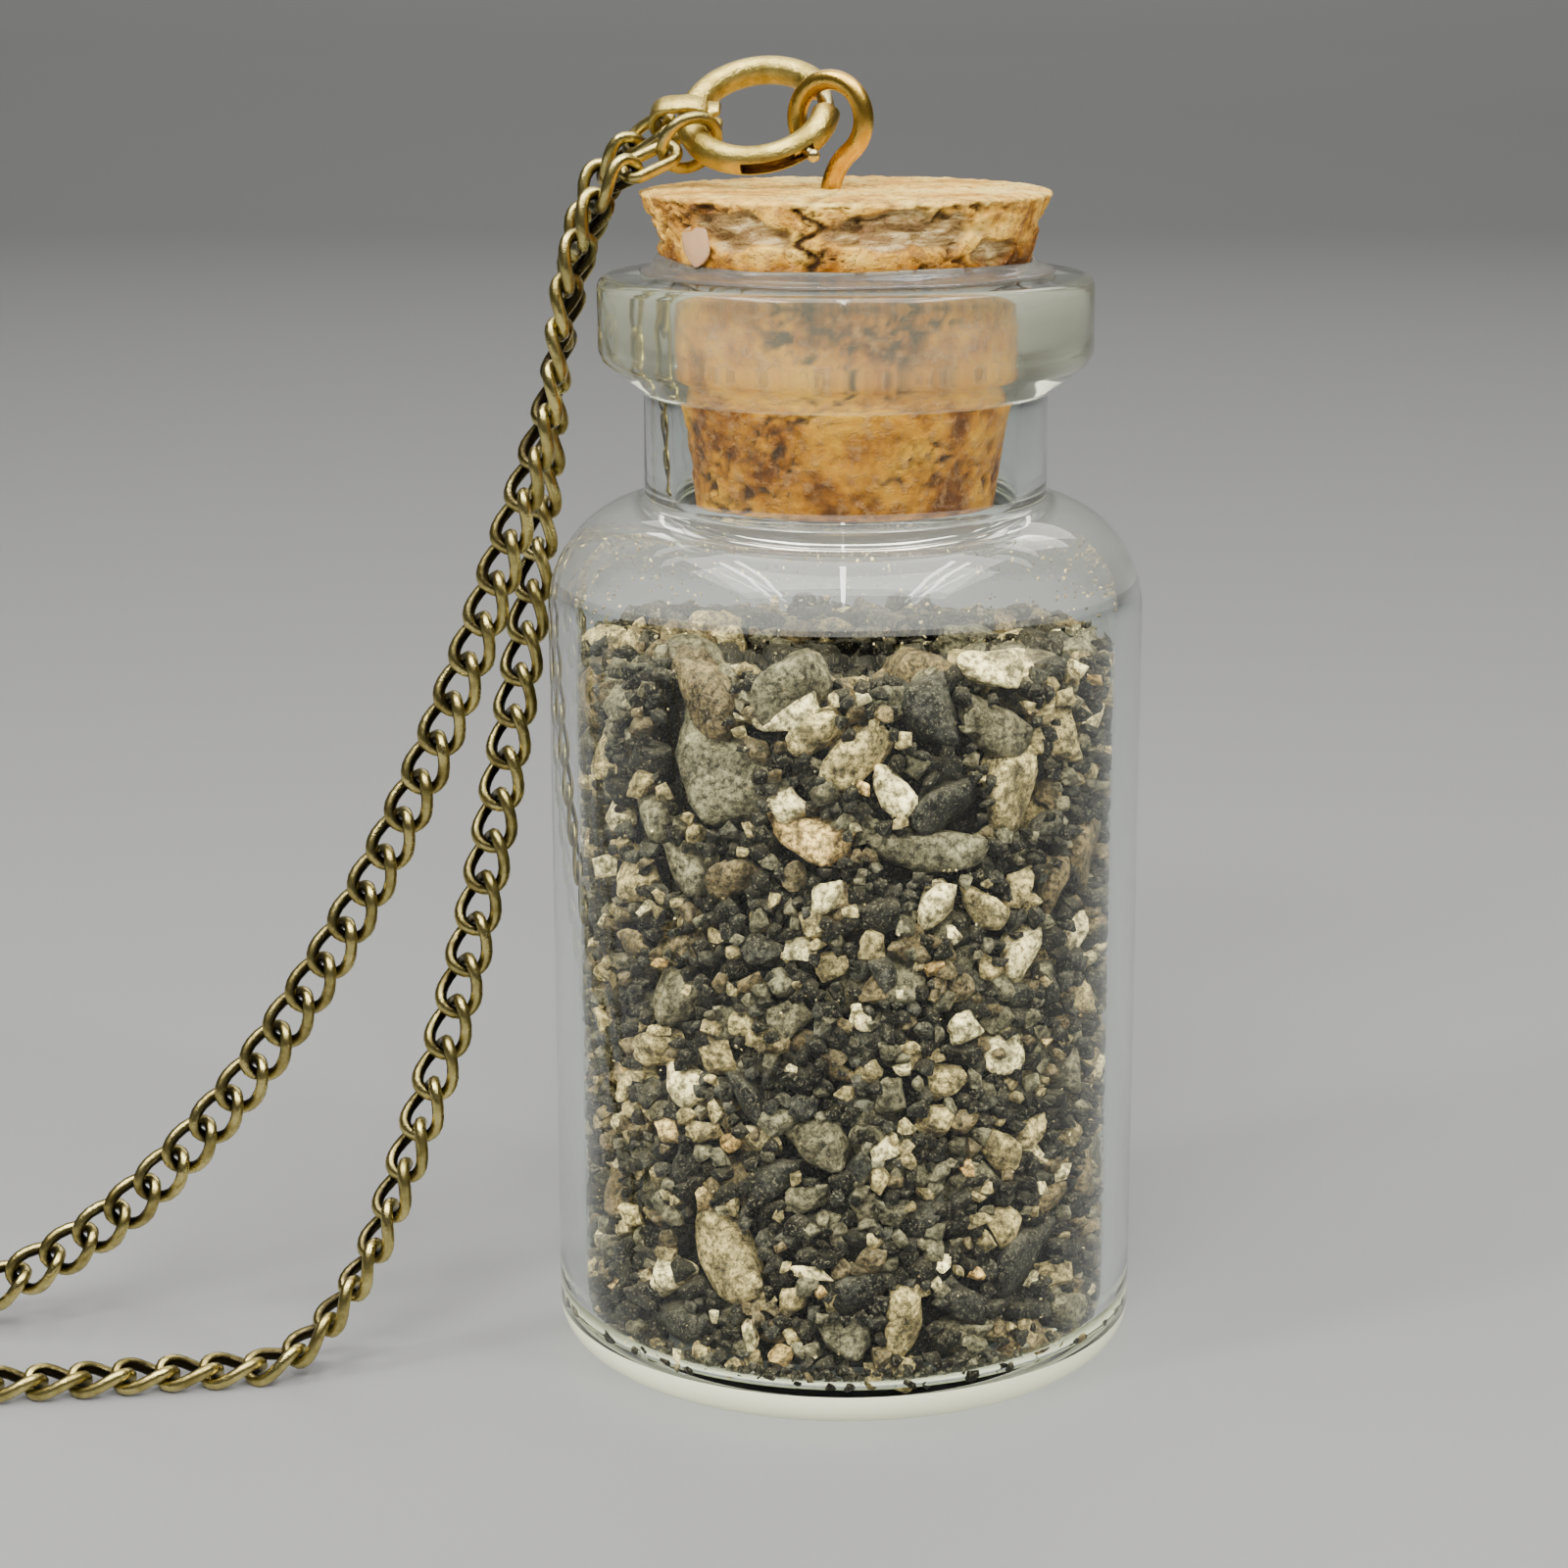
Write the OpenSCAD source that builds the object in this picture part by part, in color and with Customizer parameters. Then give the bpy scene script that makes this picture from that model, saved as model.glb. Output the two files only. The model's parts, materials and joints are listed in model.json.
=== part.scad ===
// Corked glass vial of gravel worn as a pendant on a bronze curb chain.
// Millimetres. The bottle stands on Z = 0 and its axis is the Z axis.
// The front is towards -Y, and the chain leaves the clasp towards -X and lies on the surface.

/* [Bottle] */
// Outer radius of the round body
body_r = 11; // [9:0.1:14]
// Thickness of the side wall
wall = 0.95; // [0.7:0.05:1.3]
// Thickness of the glass floor
floor_t = 1.2; // [0.8:0.1:2]
// Radius of the rounded edge round the base
heel_r = 1.4; // [0.8:0.1:2]
// Height where the straight side ends and the shoulder begins
side_h = 28.3; // [24:0.1:34]
// Radius of the shoulder's curve
shoulder_r = 4.1; // [3.6:0.1:5]
// Outer radius of the neck
neck_r = 7.4; // [7.1:0.05:8]
// Radius of the bore through the neck, where the cork is pressed in
bore_r = 6.4; // [5.8:0.05:6.6]
// Radius of the fillets between neck and shoulder
neck_fillet = 0.5; // [0.3:0.05:0.6]
// Height of the neck from the end of the straight side to the slant under the lip
neck_h = 7.9; // [7:0.1:10]
// Outer radius of the lip
lip_r = 9.05; // [8.6:0.05:10]
// Height of the lip, from the foot of its slant to its top
lip_h = 4.3; // [3.8:0.1:5.5]
// Radius of the lower edge of the lip
lip_low_r = 0.9; // [0.5:0.05:1.2]
// Radius of the upper edge of the lip
lip_top_r = 0.45; // [0.2:0.05:0.8]
// Rounding of the mouth's inner edge
mouth_r = 0.35; // [0.2:0.05:0.6]

/* [Cork] */
// Radius of the cork's top face
cork_top_r = 7.44; // [7:0.05:8]
// Radius of the cork where it swells out just above the lip
cork_waist_r = 6.75; // [6.6:0.05:7]
// Radius of the cork's lower end, inside the bottle
cork_end_r = 5.46; // [5:0.05:5.7]
// Height of the cork above the lip
cork_proud = 3.1; // [2:0.1:5]
// Depth of the cork below the lip's top
cork_deep = 8.65; // [6:0.05:9]
// Length of cork, below the lip's top, that the mouth squeezes to the bore
cork_grip = 2.3; // [1:0.1:4]
// Clearance between the cork and the glass
cork_gap = 0.05; // [0.02:0.01:0.15]
// Width of the bead of glue round the cork
glue_w = 1.25; // [1:0.05:1.5]
// Height of the bead of glue
glue_h = 0.55; // [0.3:0.05:1]

/* [Gravel] */
// Height of the gravel at the glass, above the bottle's floor
fill_h = 25.6; // [20:0.1:26]
// Depth of the hollow in the middle of the heap
fill_dip = 2.2; // [0:0.1:4]
// Depth of the ring of single stones between the packed core and the glass
stone_ring = 1.75; // [1.5:0.05:2.2]
// Rows of single stones up the side
stone_rows = 10; // [6:1:10]
// Single stones in each row
stones_round = 18; // [12:1:18]
// Single stones on top of the heap
stones_top = 40; // [20:1:40]
// Gap between stones
stone_gap = 0.12; // [0.1:0.01:0.3]

/* [Screw eye] */
// Radius of the eye's wire
eye_wire_r = 0.37; // [0.3:0.01:0.4]
// Radius of the eye's loop, to the middle of its wire
eye_loop_r = 1.4; // [1.35:0.05:1.6]
// Height of the loop's centre above the cork's top
eye_rise = 2.41; // [2.35:0.01:2.6]
// Depth of the shank in the cork
eye_deep = 7; // [4:0.1:10]
// Turn of the loop's plane about the vertical
eye_turn = -31; // [-36:1:-28]
// Distance of the shank left of the bottle's axis
eye_left = 0.57; // [0.4:0.01:0.7]

/* [Clasp] */
// Radius of the ring, to the middle of its tube
ring_r = 2.48; // [2.4:0.01:2.52]
// Outer radius of the ring's tube
tube_r = 0.52; // [0.48:0.01:0.54]
// Wall of the ring's tube
tube_wall = 0.17; // [0.12:0.01:0.2]
// Radius of the sliding bolt's wire
bolt_r = 0.29; // [0.2:0.01:0.3]
// Angle of the gap that the bolt closes
gap_deg = 36; // [30:1:40]
// Travel of the bolt when its lever is pulled back
bolt_travel = 45; // [36:1:48]
// Radius of the lever's stem
lever_r = 0.17; // [0.12:0.01:0.2]
// Radius of the ball on the lever's tip
lever_ball_r = 0.24; // [0.2:0.01:0.28]
// Distance of the lever's ball from the ring's centre
lever_reach = 3.25; // [3.2:0.01:3.35]
// Lean of the ring's plane from the vertical
ring_lean = 52; // [50:1:54]
// Turn of the ring about the vertical
ring_turn = -12; // [-14:1:-10]

// Distance that the ring hangs past the middle of the screw eye
ring_slack = 0.2; // [0.15:0.01:0.25]

/* [Tab and end links] */
// Width of the strip that is folded round the ring
tab_w = 0.8; // [0.6:0.05:0.85]
// Thickness of the strip
tab_t = 0.26; // [0.2:0.01:0.3]
// Clear length inside the strip's fold, from the ring's tube to the fold
tab_eye = 0.75; // [0.7:0.05:0.85]
// Length of the strip's two ends inside the ring, from the middle of the tube
tab_prong = 1.1; // [0.9:0.05:1.3]
// Radius of the end ring, to the middle of its wire
end_ring_r = 1.06; // [1.05:0.01:1.15]
// Radius of the wire of the end ring and end links
link_wire_r = 0.22; // [0.18:0.01:0.22]
// Outer length of an end link
link_l = 2.5; // [2.3:0.1:2.8]
// Clearance between pieces of the clasp that hang on or turn in each other
play = 0.06; // [0.04:0.01:0.06]

/* [Chain] */
// Radius of the round envelope of the curb chain
chain_r = 0.8; // [0.6:0.05:0.85]
// Distance from the bottle's axis that the chain's loop reaches on the surface
loop_reach = 158.5; // [140:0.5:175]
// Width of the chain's loop on the surface
loop_w = 94; // [80:1:105]

/* [Hidden] */
round_fn = 96;
wire_fn = 32;
eps = 0.01;

lip_foot_z = side_h + neck_h;
lip_top_z = lip_foot_z + lip_h;
cork_top_z = lip_top_z + cork_proud;
cork_end_z = lip_top_z - cork_deep;
inner_r = body_r - wall;
inner_heel_r = max(heel_r - wall / 2, 0.3);

// Route of the chain from the end ring's link down to the surface, round the loop and up to the tab's link.
// Columns: x, y, height of the chain's underside, for a screw eye 46 mm up and a loop of 158.5 by 94 mm.
chain_eye_z = 46;
chain_loop = [158.5, 94];
chain_land_x = 35;
chain_route = [
    [-8.5, -0.7, 42.7], [-9.4, -0.8, 40.8], [-10.2, -0.9, 38.4], [-10.9, -1.1, 34.8], [-12.1, -1.4, 30.8],
    [-13.9, -1.7, 25.6], [-16.4, -1.9, 19.8], [-19.6, -2.1, 14], [-23.6, -2.3, 8.4], [-28.6, -2.4, 3.6],
    [-35, -1.8, 0.5], [-43, 0.6, 0], [-52.5, 7, 0], [-63.5, 18, 0], [-77, 30.5, 0],
    [-94, 41.5, 0], [-114, 46, 0], [-134, 42, 0], [-149.5, 29.5, 0], [-158, 12, 0],
    [-158.5, -8, 0], [-151, -26.5, 0], [-137, -40.5, 0], [-118, -48, 0], [-97, -47, 0],
    [-78, -37.5, 0], [-62, -24.5, 0], [-48, -14, 0], [-35, -9.2, 0], [-27, -7.6, 0],
    [-21.2, -6.4, 0.2], [-18.3, -5.3, 2.8], [-16.5, -4.1, 6.8], [-14.9, -2.4, 11.6], [-13.7, -0.5, 16.6],
    [-12.8, 1.2, 21.6], [-12, 2.3, 26.6], [-11.3, 2.8, 31.6], [-10.7, 2.9, 36], [-9.9, 2.7, 40],
    [-8.6, 2.3, 43.4]
];
chain_steps = 2;
chain_sides = 8;

// Corner where a vertical wall at radius r meets the shoulder's curve of radius s: centre of a fillet f
function throat(r, s, f) = [r + f, side_h + sqrt(pow(s + f, 2) - pow(r + f - (body_r - shoulder_r), 2))];

module throat_fillet(r, s, f) {
    c = throat(r, s, f);
    foot = [body_r - shoulder_r, side_h];
    touch = foot + (c - foot) * s / (s + f);
    difference() {
        polygon([[r - eps, touch.y - f], touch, c, [r - eps, c.y]]);
        translate(c) circle(f, $fn = wire_fn);
    }
}

module vial_profile(r, heel, s, bore, f, z0, top) {
    translate([0, z0]) square([r - heel, heel]);
    translate([r - heel, z0 + heel]) circle(heel, $fn = wire_fn);
    translate([0, z0 + heel]) square([r, side_h - z0 - heel]);
    translate([body_r - shoulder_r, side_h]) circle(s, $fn = round_fn);
    translate([0, side_h - eps]) square([body_r - shoulder_r, s]);
    translate([0, side_h]) square([bore, top - side_h]);
    throat_fillet(bore, s, f);
}

module lip_profile() {
    low = [lip_r - lip_low_r, lip_top_z - lip_top_r - lip_h / 2];
    foot = [neck_r, lip_foot_z];
    reach = norm(low - foot);
    turn = atan2(low.y - foot.y, low.x - foot.x) - asin(lip_low_r / reach);
    touch = foot + sqrt(reach * reach - lip_low_r * lip_low_r) * [cos(turn), sin(turn)];
    polygon([[0, lip_foot_z - eps], foot, touch, [lip_r, low.y], [lip_r, lip_top_z - lip_top_r],
             [lip_r - lip_top_r, lip_top_z], [0, lip_top_z]]);
    translate(low) circle(lip_low_r, $fn = wire_fn);
    translate([lip_r - lip_top_r, lip_top_z - lip_top_r]) circle(lip_top_r, $fn = wire_fn);
}

module mouth_profile() {
    difference() {
        translate([0, lip_top_z - mouth_r]) square([bore_r + mouth_r, 2 * mouth_r]);
        translate([bore_r + mouth_r, lip_top_z - mouth_r]) circle(mouth_r, $fn = wire_fn);
    }
}

module bottle() {
    color([0.86, 0.9, 0.87, 0.4])
    rotate_extrude($fn = round_fn) difference() {
        union() {
            vial_profile(body_r, heel_r, shoulder_r, neck_r, neck_fillet, 0, lip_foot_z);
            lip_profile();
        }
        vial_profile(inner_r, inner_heel_r, shoulder_r - wall, bore_r, neck_fillet, floor_t, lip_top_z + 1);
        mouth_profile();
    }
}

module cork() {
    squeezed_r = bore_r - cork_gap;
    color([0.8, 0.6, 0.36]) difference() {
        rotate_extrude($fn = round_fn) polygon([
            [0, cork_end_z], [cork_end_r, cork_end_z], [squeezed_r, lip_top_z - cork_grip],
            [squeezed_r, lip_top_z - cork_gap], [cork_waist_r, lip_top_z + glue_h],
            [cork_top_r, cork_top_z], [0, cork_top_z]]);
        translate([-eye_left, 0, cork_top_z - eye_deep - play])
            cylinder(r = eye_wire_r + play, h = eye_deep + 1, $fn = wire_fn);
    }
}

module glue_bead() {
    foot_z = lip_top_z + cork_gap;
    rim_r = cork_waist_r + glue_w;
    cork_r = function(z) bore_r - cork_gap
        + (cork_waist_r - bore_r + cork_gap) * (z - lip_top_z + cork_gap) / (glue_h + cork_gap);
    color([0.9, 0.88, 0.82, 0.6]) rotate_extrude($fn = round_fn) difference() {
        polygon([[cork_r(foot_z) + cork_gap, foot_z], [min(rim_r, lip_r - lip_top_r), foot_z],
                 [cork_waist_r + cork_gap, lip_top_z + glue_h]]);
        translate([rim_r, lip_top_z + glue_w]) circle(glue_w - 2 * cork_gap, $fn = wire_fn);
    }
}

// Gravel: a packed core with loose stones round it and on top of it
core_r = inner_r - stone_ring;
core_z = floor_t + stone_gap;
fill_z = floor_t + fill_h;
function heap_z(r) = fill_z - fill_dip * pow(cos(90 * min(r / core_r, 1)), 2);

module gravel() {
    rim = max(inner_heel_r, stone_gap);
    color([0.2, 0.19, 0.17]) rotate_extrude($fn = round_fn) polygon(concat(
        [[0, core_z], [core_r, core_z]],
        [for (i = [6:-1:0]) [core_r * i / 6, heap_z(core_r * i / 6) - rim]]));
}

// A rough stone that fits in the box of half sizes h: an icosahedron, turned and knocked about
gold = (1 + sqrt(5)) / 2;
ico_points = [for (a = [-1, 1], b = [-gold, gold]) each [[0, a, b], [a, b, 0], [b, 0, a]]] / norm([1, gold]);
ico_edge = 2 / norm([1, gold]) + eps;
function near(p) = [for (i = [0:11]) let (d = norm(ico_points[i] - p)) if (d < ico_edge && d > eps) i];
ico_faces = [for (i = [0:11], j = near(ico_points[i]), k = near(ico_points[i]))
    if (i < j && i < k && norm(ico_points[j] - ico_points[k]) < ico_edge && j != k
        && cross(ico_points[j] - ico_points[i], ico_points[k] - ico_points[i]) * ico_points[i] < 0) [i, j, k]];
function turned(p, a, b) = let (q = [p.x * cos(a) - p.y * sin(a), p.x * sin(a) + p.y * cos(a), p.z])
    [q.x, q.y * cos(b) - q.z * sin(b), q.y * sin(b) + q.z * cos(b)];

module stone(h, seed) {
    knocks = rands(0.72, 1, 12, seed);
    turns = rands(0, 360, 2, seed + 500);
    polyhedron([for (i = [0:11]) let (p = turned(ico_points[i], turns[0], turns[1]) * knocks[i])
        [p.x * h.x, p.y * h.y, p.z * h.z]], ico_faces);
}

module pebbles() {
    row_h = (fill_z - core_z) / stone_rows;
    cell_w = 2 * (core_r + stone_gap) * sin(180 / stones_round);
    mid_r = inner_r - stone_ring / 2;
    half = [stone_ring / 2 - stone_gap, cell_w / 2 - stone_gap / 2, row_h / 2 - stone_gap / 2];
    disc_r = core_r - stone_gap;
    top_r = disc_r / sqrt(stones_top) * 0.8;
    color([0.55, 0.5, 0.42]) {
        for (row = [0:stone_rows - 1], i = [0:stones_round - 1])
            rotate([0, 0, (i + row / 2) * 360 / stones_round])
                translate([mid_r - (row == 0 ? inner_heel_r / 4 : 0), 0, core_z + (row + 0.5) * row_h])
                    stone(row == 0 ? half * 0.85 : half, row * 100 + i);
        for (i = [0:stones_top - 1])
            let (r = (disc_r - top_r) * sqrt((i + 0.5) / stones_top), a = i * 360 / (gold * gold))
                translate([r * cos(a), r * sin(a), heap_z(r) - inner_heel_r + top_r + 2 * stone_gap])
                    stone([top_r, top_r, top_r] * 0.92, 3000 + i);
    }
}

// A torus of wire radius w and loop radius r in the XY plane, from angle a to angle b
module bent_wire(r, w, a, b) {
    rotate([0, 0, a]) rotate_extrude(angle = b - a, $fn = round_fn) translate([r, 0]) circle(w, $fn = wire_fn);
}

module eye_screw() {
    open_deg = 222;
    neck_deg = atan2(4, 3);
    bend_r = eye_loop_r * cos(neck_deg) / (1 - cos(neck_deg));
    neck_y = -(eye_loop_r + bend_r) * sin(neck_deg);
    color([0.85, 0.66, 0.25])
    translate([-eye_left, 0, cork_top_z + eye_rise]) rotate([90, 0, eye_turn]) union() {
        bent_wire(eye_loop_r, eye_wire_r, -neck_deg, open_deg);
        translate([bend_r, neck_y, 0]) bent_wire(bend_r, eye_wire_r, 180 - neck_deg, 180);
        translate([0, neck_y, 0]) rotate([90, 0, 0])
            cylinder(r = eye_wire_r, h = neck_y + eye_rise + eye_deep, $fn = wire_fn);
    }
}

// The clasp's own frame: the ring lies in its XY plane, +X to the right and +Y up the slope.
// The ring hangs in the screw eye by its bolt, so its centre lies to the eye's left.
ring_side = 166;
ring_climb = 2.8;
gap_from = 2;
lever_deg = -42;
bolt_tail = 9;
bolt_nose = 6;
bolt_from = lever_deg - bolt_tail;
bolt_to = gap_from + gap_deg + bolt_nose;
module at_clasp() {
    away = [cos(ring_climb) * cos(ring_side), cos(ring_climb) * sin(ring_side), sin(ring_climb)];
    translate([-eye_left, 0, cork_top_z + eye_rise] + (ring_r + ring_slack) * away)
        rotate([90 - ring_lean, 0, ring_turn]) children();
}
// A frame on the ring's tube: +X away from the ring's centre, +Y along the tube, +Z the ring's axis
module on_tube(angle) {
    at_clasp() rotate([0, 0, angle]) translate([ring_r, 0, 0]) children();
}

module clasp_ring() {
    slot_side = lever_r + play;
    slot_lead = 5;
    slot_from = lever_deg - bolt_travel - slot_lead;
    slot_deg = bolt_travel + 2 * slot_lead;
    color([0.72, 0.58, 0.27]) at_clasp() difference() {
        rotate([0, 0, gap_from + gap_deg]) rotate_extrude(angle = 360 - gap_deg, $fn = round_fn)
            translate([ring_r, 0]) difference() {
                circle(tube_r, $fn = wire_fn);
                circle(tube_r - tube_wall, $fn = wire_fn);
            }
        rotate([0, 0, slot_from]) rotate_extrude(angle = slot_deg, $fn = round_fn)
            translate([ring_r, -slot_side]) square([2 * tube_r, 2 * slot_side]);
    }
}

module clasp_bolt() {
    color([0.78, 0.66, 0.36]) at_clasp() union() {
        bent_wire(ring_r, bolt_r, bolt_from, bolt_to);
        rotate([0, 0, lever_deg]) translate([ring_r, 0, 0]) rotate([0, 90, 0])
            cylinder(r = lever_r, h = lever_reach - ring_r, $fn = wire_fn);
        rotate([0, 0, lever_deg]) translate([lever_reach, 0, 0]) sphere(lever_ball_r, $fn = wire_fn);
    }
}

tab_deg = 186;
end_ring_deg = 214;
module clasp_tab() {
    tube_bow = tab_w * tab_w / (8 * (ring_r - tube_r));
    hug_r = tube_r + play / 2 + tube_bow;
    fold_x = tube_r + tab_eye - hug_r;
    color([0.66, 0.54, 0.27]) on_tube(tab_deg) rotate([90, 0, 0])
    linear_extrude(tab_w, center = true) difference() {
        union() {
            circle(hug_r + tab_t, $fn = wire_fn);
            translate([fold_x, 0]) circle(hug_r + tab_t, $fn = wire_fn);
            translate([0, -hug_r - tab_t]) square([fold_x, 2 * (hug_r + tab_t)]);
            translate([-tab_prong, -2 * tab_t]) square([tab_prong, 4 * tab_t]);
        }
        circle(hug_r, $fn = wire_fn);
        translate([fold_x, 0]) circle(hug_r, $fn = wire_fn);
        translate([0, -hug_r]) square([fold_x, 2 * hug_r]);
        translate([-tab_prong - 1, -tab_t]) square([tab_prong + 1, 2 * tab_t]);
    }
}

end_ring_hang = end_ring_r - link_wire_r - tube_r - play;
end_ring_tilt = 5;
module end_ring() {
    color([0.5, 0.42, 0.22]) on_tube(end_ring_deg) rotate([0, end_ring_tilt, 0])
        translate([end_ring_hang, 0, 0]) rotate([90, 0, 0])
            rotate_extrude($fn = round_fn) translate([end_ring_r, 0]) circle(link_wire_r, $fn = wire_fn);
}

// An oval link along +X that clears what its near end holds, which is held_w wide along Y.
// The middle of its near end's wire is at the origin.
module oval_link(held_w) {
    bend_r = held_w / 2 + play + link_wire_r;
    straight = link_l - 2 * (bend_r + link_wire_r);
    translate([bend_r, 0, 0]) union() {
        bent_wire(bend_r, link_wire_r, 90, 270);
        translate([straight, 0, 0]) bent_wire(bend_r, link_wire_r, -90, 90);
        for (side = [-1, 1]) translate([0, side * bend_r, 0]) rotate([0, 90, 0])
            cylinder(r = link_wire_r, h = straight, $fn = wire_fn);
    }
}

tab_link_tilt = 33;
module end_link_tab() {
    color([0.6, 0.5, 0.25]) on_tube(tab_deg)
        translate([tube_r + link_wire_r + play, 0, 0]) rotate([0, tab_link_tilt, 0]) oval_link(tab_w);
}

module end_link_ring() {
    reach = end_ring_hang + end_ring_r - 2 * link_wire_r - play;
    color([0.6, 0.5, 0.25]) on_tube(end_ring_deg) rotate([0, end_ring_tilt, 0])
        translate([reach, 0, 0]) oval_link(2 * link_wire_r);
}

// A point between b and c on the smooth curve through a, b, c and d
function smooth(a, b, c, d, t) = b + t * (c - a) / 2 + t * t * (a - 2.5 * b + 2 * c - d / 2)
    + t * t * t * (1.5 * b - a / 2 - 1.5 * c + d / 2);

// A point of the route, moved to where the loop's size and the eye's height put it
function laid(p) = let (out = max(-p.x - chain_land_x, 0), part = min(out / chain_land_x, 1))
    [p.x - out * ((loop_reach - chain_land_x) / (chain_loop.x - chain_land_x) - 1),
     p.y * (1 + part * (loop_w / chain_loop.y - 1)),
     max(p.z, 0) * (cork_top_z + eye_rise) / chain_eye_z + chain_r];

module chain() {
    last = len(chain_route) - 1;
    underside = concat([for (i = [0:last - 1], k = [0:chain_steps - 1])
        smooth(chain_route[max(i - 1, 0)], chain_route[i], chain_route[i + 1],
               chain_route[min(i + 2, last)], k / chain_steps)], [chain_route[last]]);
    path = [for (p = underside) laid(p)];
    n = len(path);
    rings = [for (i = [0:n - 1])
        let (ahead = path[min(i + 1, n - 1)] - path[max(i - 1, 0)], d = ahead / norm(ahead),
             side = cross(d, [0, 0, 1]), u = side / norm(side), v = cross(u, d))
        for (k = [0:chain_sides - 1]) let (a = 360 * k / chain_sides)
            path[i] + chain_r * (cos(a) * u + sin(a) * v)];
    skin = [for (i = [0:n - 2], k = [0:chain_sides - 1])
        let (p = i * chain_sides + k, q = i * chain_sides + (k + 1) % chain_sides)
        each [[p, q, q + chain_sides], [p, q + chain_sides, p + chain_sides]]];
    near_end = [for (k = [chain_sides - 1:-1:0]) k];
    far_end = [for (k = [0:chain_sides - 1]) (n - 1) * chain_sides + k];
    color([0.55, 0.46, 0.22]) polyhedron(rings, concat(skin, [near_end, far_end]));
}

bottle();
gravel();
pebbles();
cork();
glue_bead();
eye_screw();
clasp_ring();
clasp_bolt();
clasp_tab();
end_ring();
end_link_tab();
end_link_ring();
chain();
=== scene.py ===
import json
import math

import bmesh
import bpy
import numpy as np
from mathutils import Matrix, Vector, noise

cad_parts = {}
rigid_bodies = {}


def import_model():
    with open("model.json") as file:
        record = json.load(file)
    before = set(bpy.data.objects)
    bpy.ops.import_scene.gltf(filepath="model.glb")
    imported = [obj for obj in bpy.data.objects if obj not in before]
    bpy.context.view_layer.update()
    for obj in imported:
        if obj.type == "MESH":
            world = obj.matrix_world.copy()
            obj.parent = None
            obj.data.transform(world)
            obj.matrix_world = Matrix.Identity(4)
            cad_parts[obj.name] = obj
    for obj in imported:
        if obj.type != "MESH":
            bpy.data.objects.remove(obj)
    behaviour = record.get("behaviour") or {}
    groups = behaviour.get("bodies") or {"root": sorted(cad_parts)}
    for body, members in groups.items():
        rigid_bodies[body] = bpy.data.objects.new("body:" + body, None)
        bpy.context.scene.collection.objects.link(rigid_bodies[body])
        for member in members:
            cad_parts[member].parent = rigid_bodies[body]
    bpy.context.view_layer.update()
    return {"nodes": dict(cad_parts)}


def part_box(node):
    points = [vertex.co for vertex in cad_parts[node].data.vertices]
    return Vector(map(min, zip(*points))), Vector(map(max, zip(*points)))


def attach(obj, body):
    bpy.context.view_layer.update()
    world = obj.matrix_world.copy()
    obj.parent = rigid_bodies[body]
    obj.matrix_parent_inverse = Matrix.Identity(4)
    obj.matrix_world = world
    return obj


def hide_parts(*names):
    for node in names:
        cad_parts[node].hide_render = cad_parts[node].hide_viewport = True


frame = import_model()
nodes = frame["nodes"]
mm = 0.001


# The viewpoint: low and close in front of the bottle, looking slightly down on it, as a phone held at arm's
# length on a table top sees it.
def put_out(name, data):
    """A new object with its data, linked into the scene."""
    thing = bpy.data.objects.new(name, data)
    bpy.context.scene.collection.objects.link(thing)
    return thing


camera = put_out("camera", bpy.data.cameras.new("camera"))
bpy.context.scene.camera = camera
camera.data.sensor_fit = "HORIZONTAL"
camera.data.sensor_width = 36
camera.data.lens = 79.61
camera.data.clip_start = 5 * mm
camera_place = Vector((0, -126.93, 51.68)) * mm
look_down, look_left, lean = math.radians(13.41), math.radians(1.03), math.radians(-0.12)
camera.matrix_world = (Matrix.Translation(camera_place) @ Matrix.Rotation(look_left, 4, "Z")
                       @ Matrix.Rotation(math.pi / 2 - look_down, 4, "X") @ Matrix.Rotation(lean, 4, "Z"))


# The bottle: a small vial of clear soda glass, drawn from tube on a lathe. Its shoulder is rolled in. The
# flame that thickened the lip and heel left the lip a little milky and green. The heel is painted a milky
# cream, as painted light for the glow that its thick glass carries, and dust clings inside the shoulder.
def new_piece(name, points, faces):
    """A smooth piece from points in millimetres."""
    mesh = bpy.data.meshes.new(name)
    mesh.from_pydata([tuple(p) for p in np.array([tuple(p) for p in points]) * mm], [], faces)
    mesh.polygons.foreach_set("use_smooth", [True] * len(mesh.polygons))
    mesh.update()
    return put_out(name, mesh)


def mark_points(mesh, name, values, kind="FLOAT"):
    """Gives each point of a mesh a named value."""
    layer = mesh.attributes.new(name, kind, "POINT").data
    if kind == "FLOAT_VECTOR":
        layer.foreach_set("vector", np.array([tuple(v) for v in values], np.float32).ravel())
    else:
        layer.foreach_set("value", np.array(values, np.int32 if kind == "INT" else np.float32))


def add_node(tree, kind, inputs=None, **settings):
    """A node of a geometry or shader tree, with values or links given by socket name or number."""
    node = tree.nodes.new(kind)
    for setting, value in settings.items():
        setattr(node, setting, value)
    for socket, value in (inputs or {}).items():
        if isinstance(value, bpy.types.NodeSocket):
            tree.links.new(value, node.inputs[socket])
        else:
            node.inputs[socket].default_value = value
    return node


def new_material(name, **values):
    """A material, its node tree, and its Principled shader with the given values."""
    material = bpy.data.materials.new(name)
    material.use_nodes = True
    shader = material.node_tree.nodes["Principled BSDF"]
    for socket, value in values.items():
        shader.inputs[socket.replace("_", " ")].default_value = value
    return material, material.node_tree, shader


def drive(shader, **sources):
    """Links sockets of a shader to what drives them."""
    for socket, source in sources.items():
        shader.id_data.links.new(source, shader.inputs[socket.replace("_", " ")])


def point_value(tree, name):
    return add_node(tree, "ShaderNodeAttribute", attribute_name=name).outputs["Fac"]


def maths(tree, kind, *values):
    return add_node(tree, "ShaderNodeMath", dict(enumerate(values)), operation=kind).outputs[0]


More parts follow.
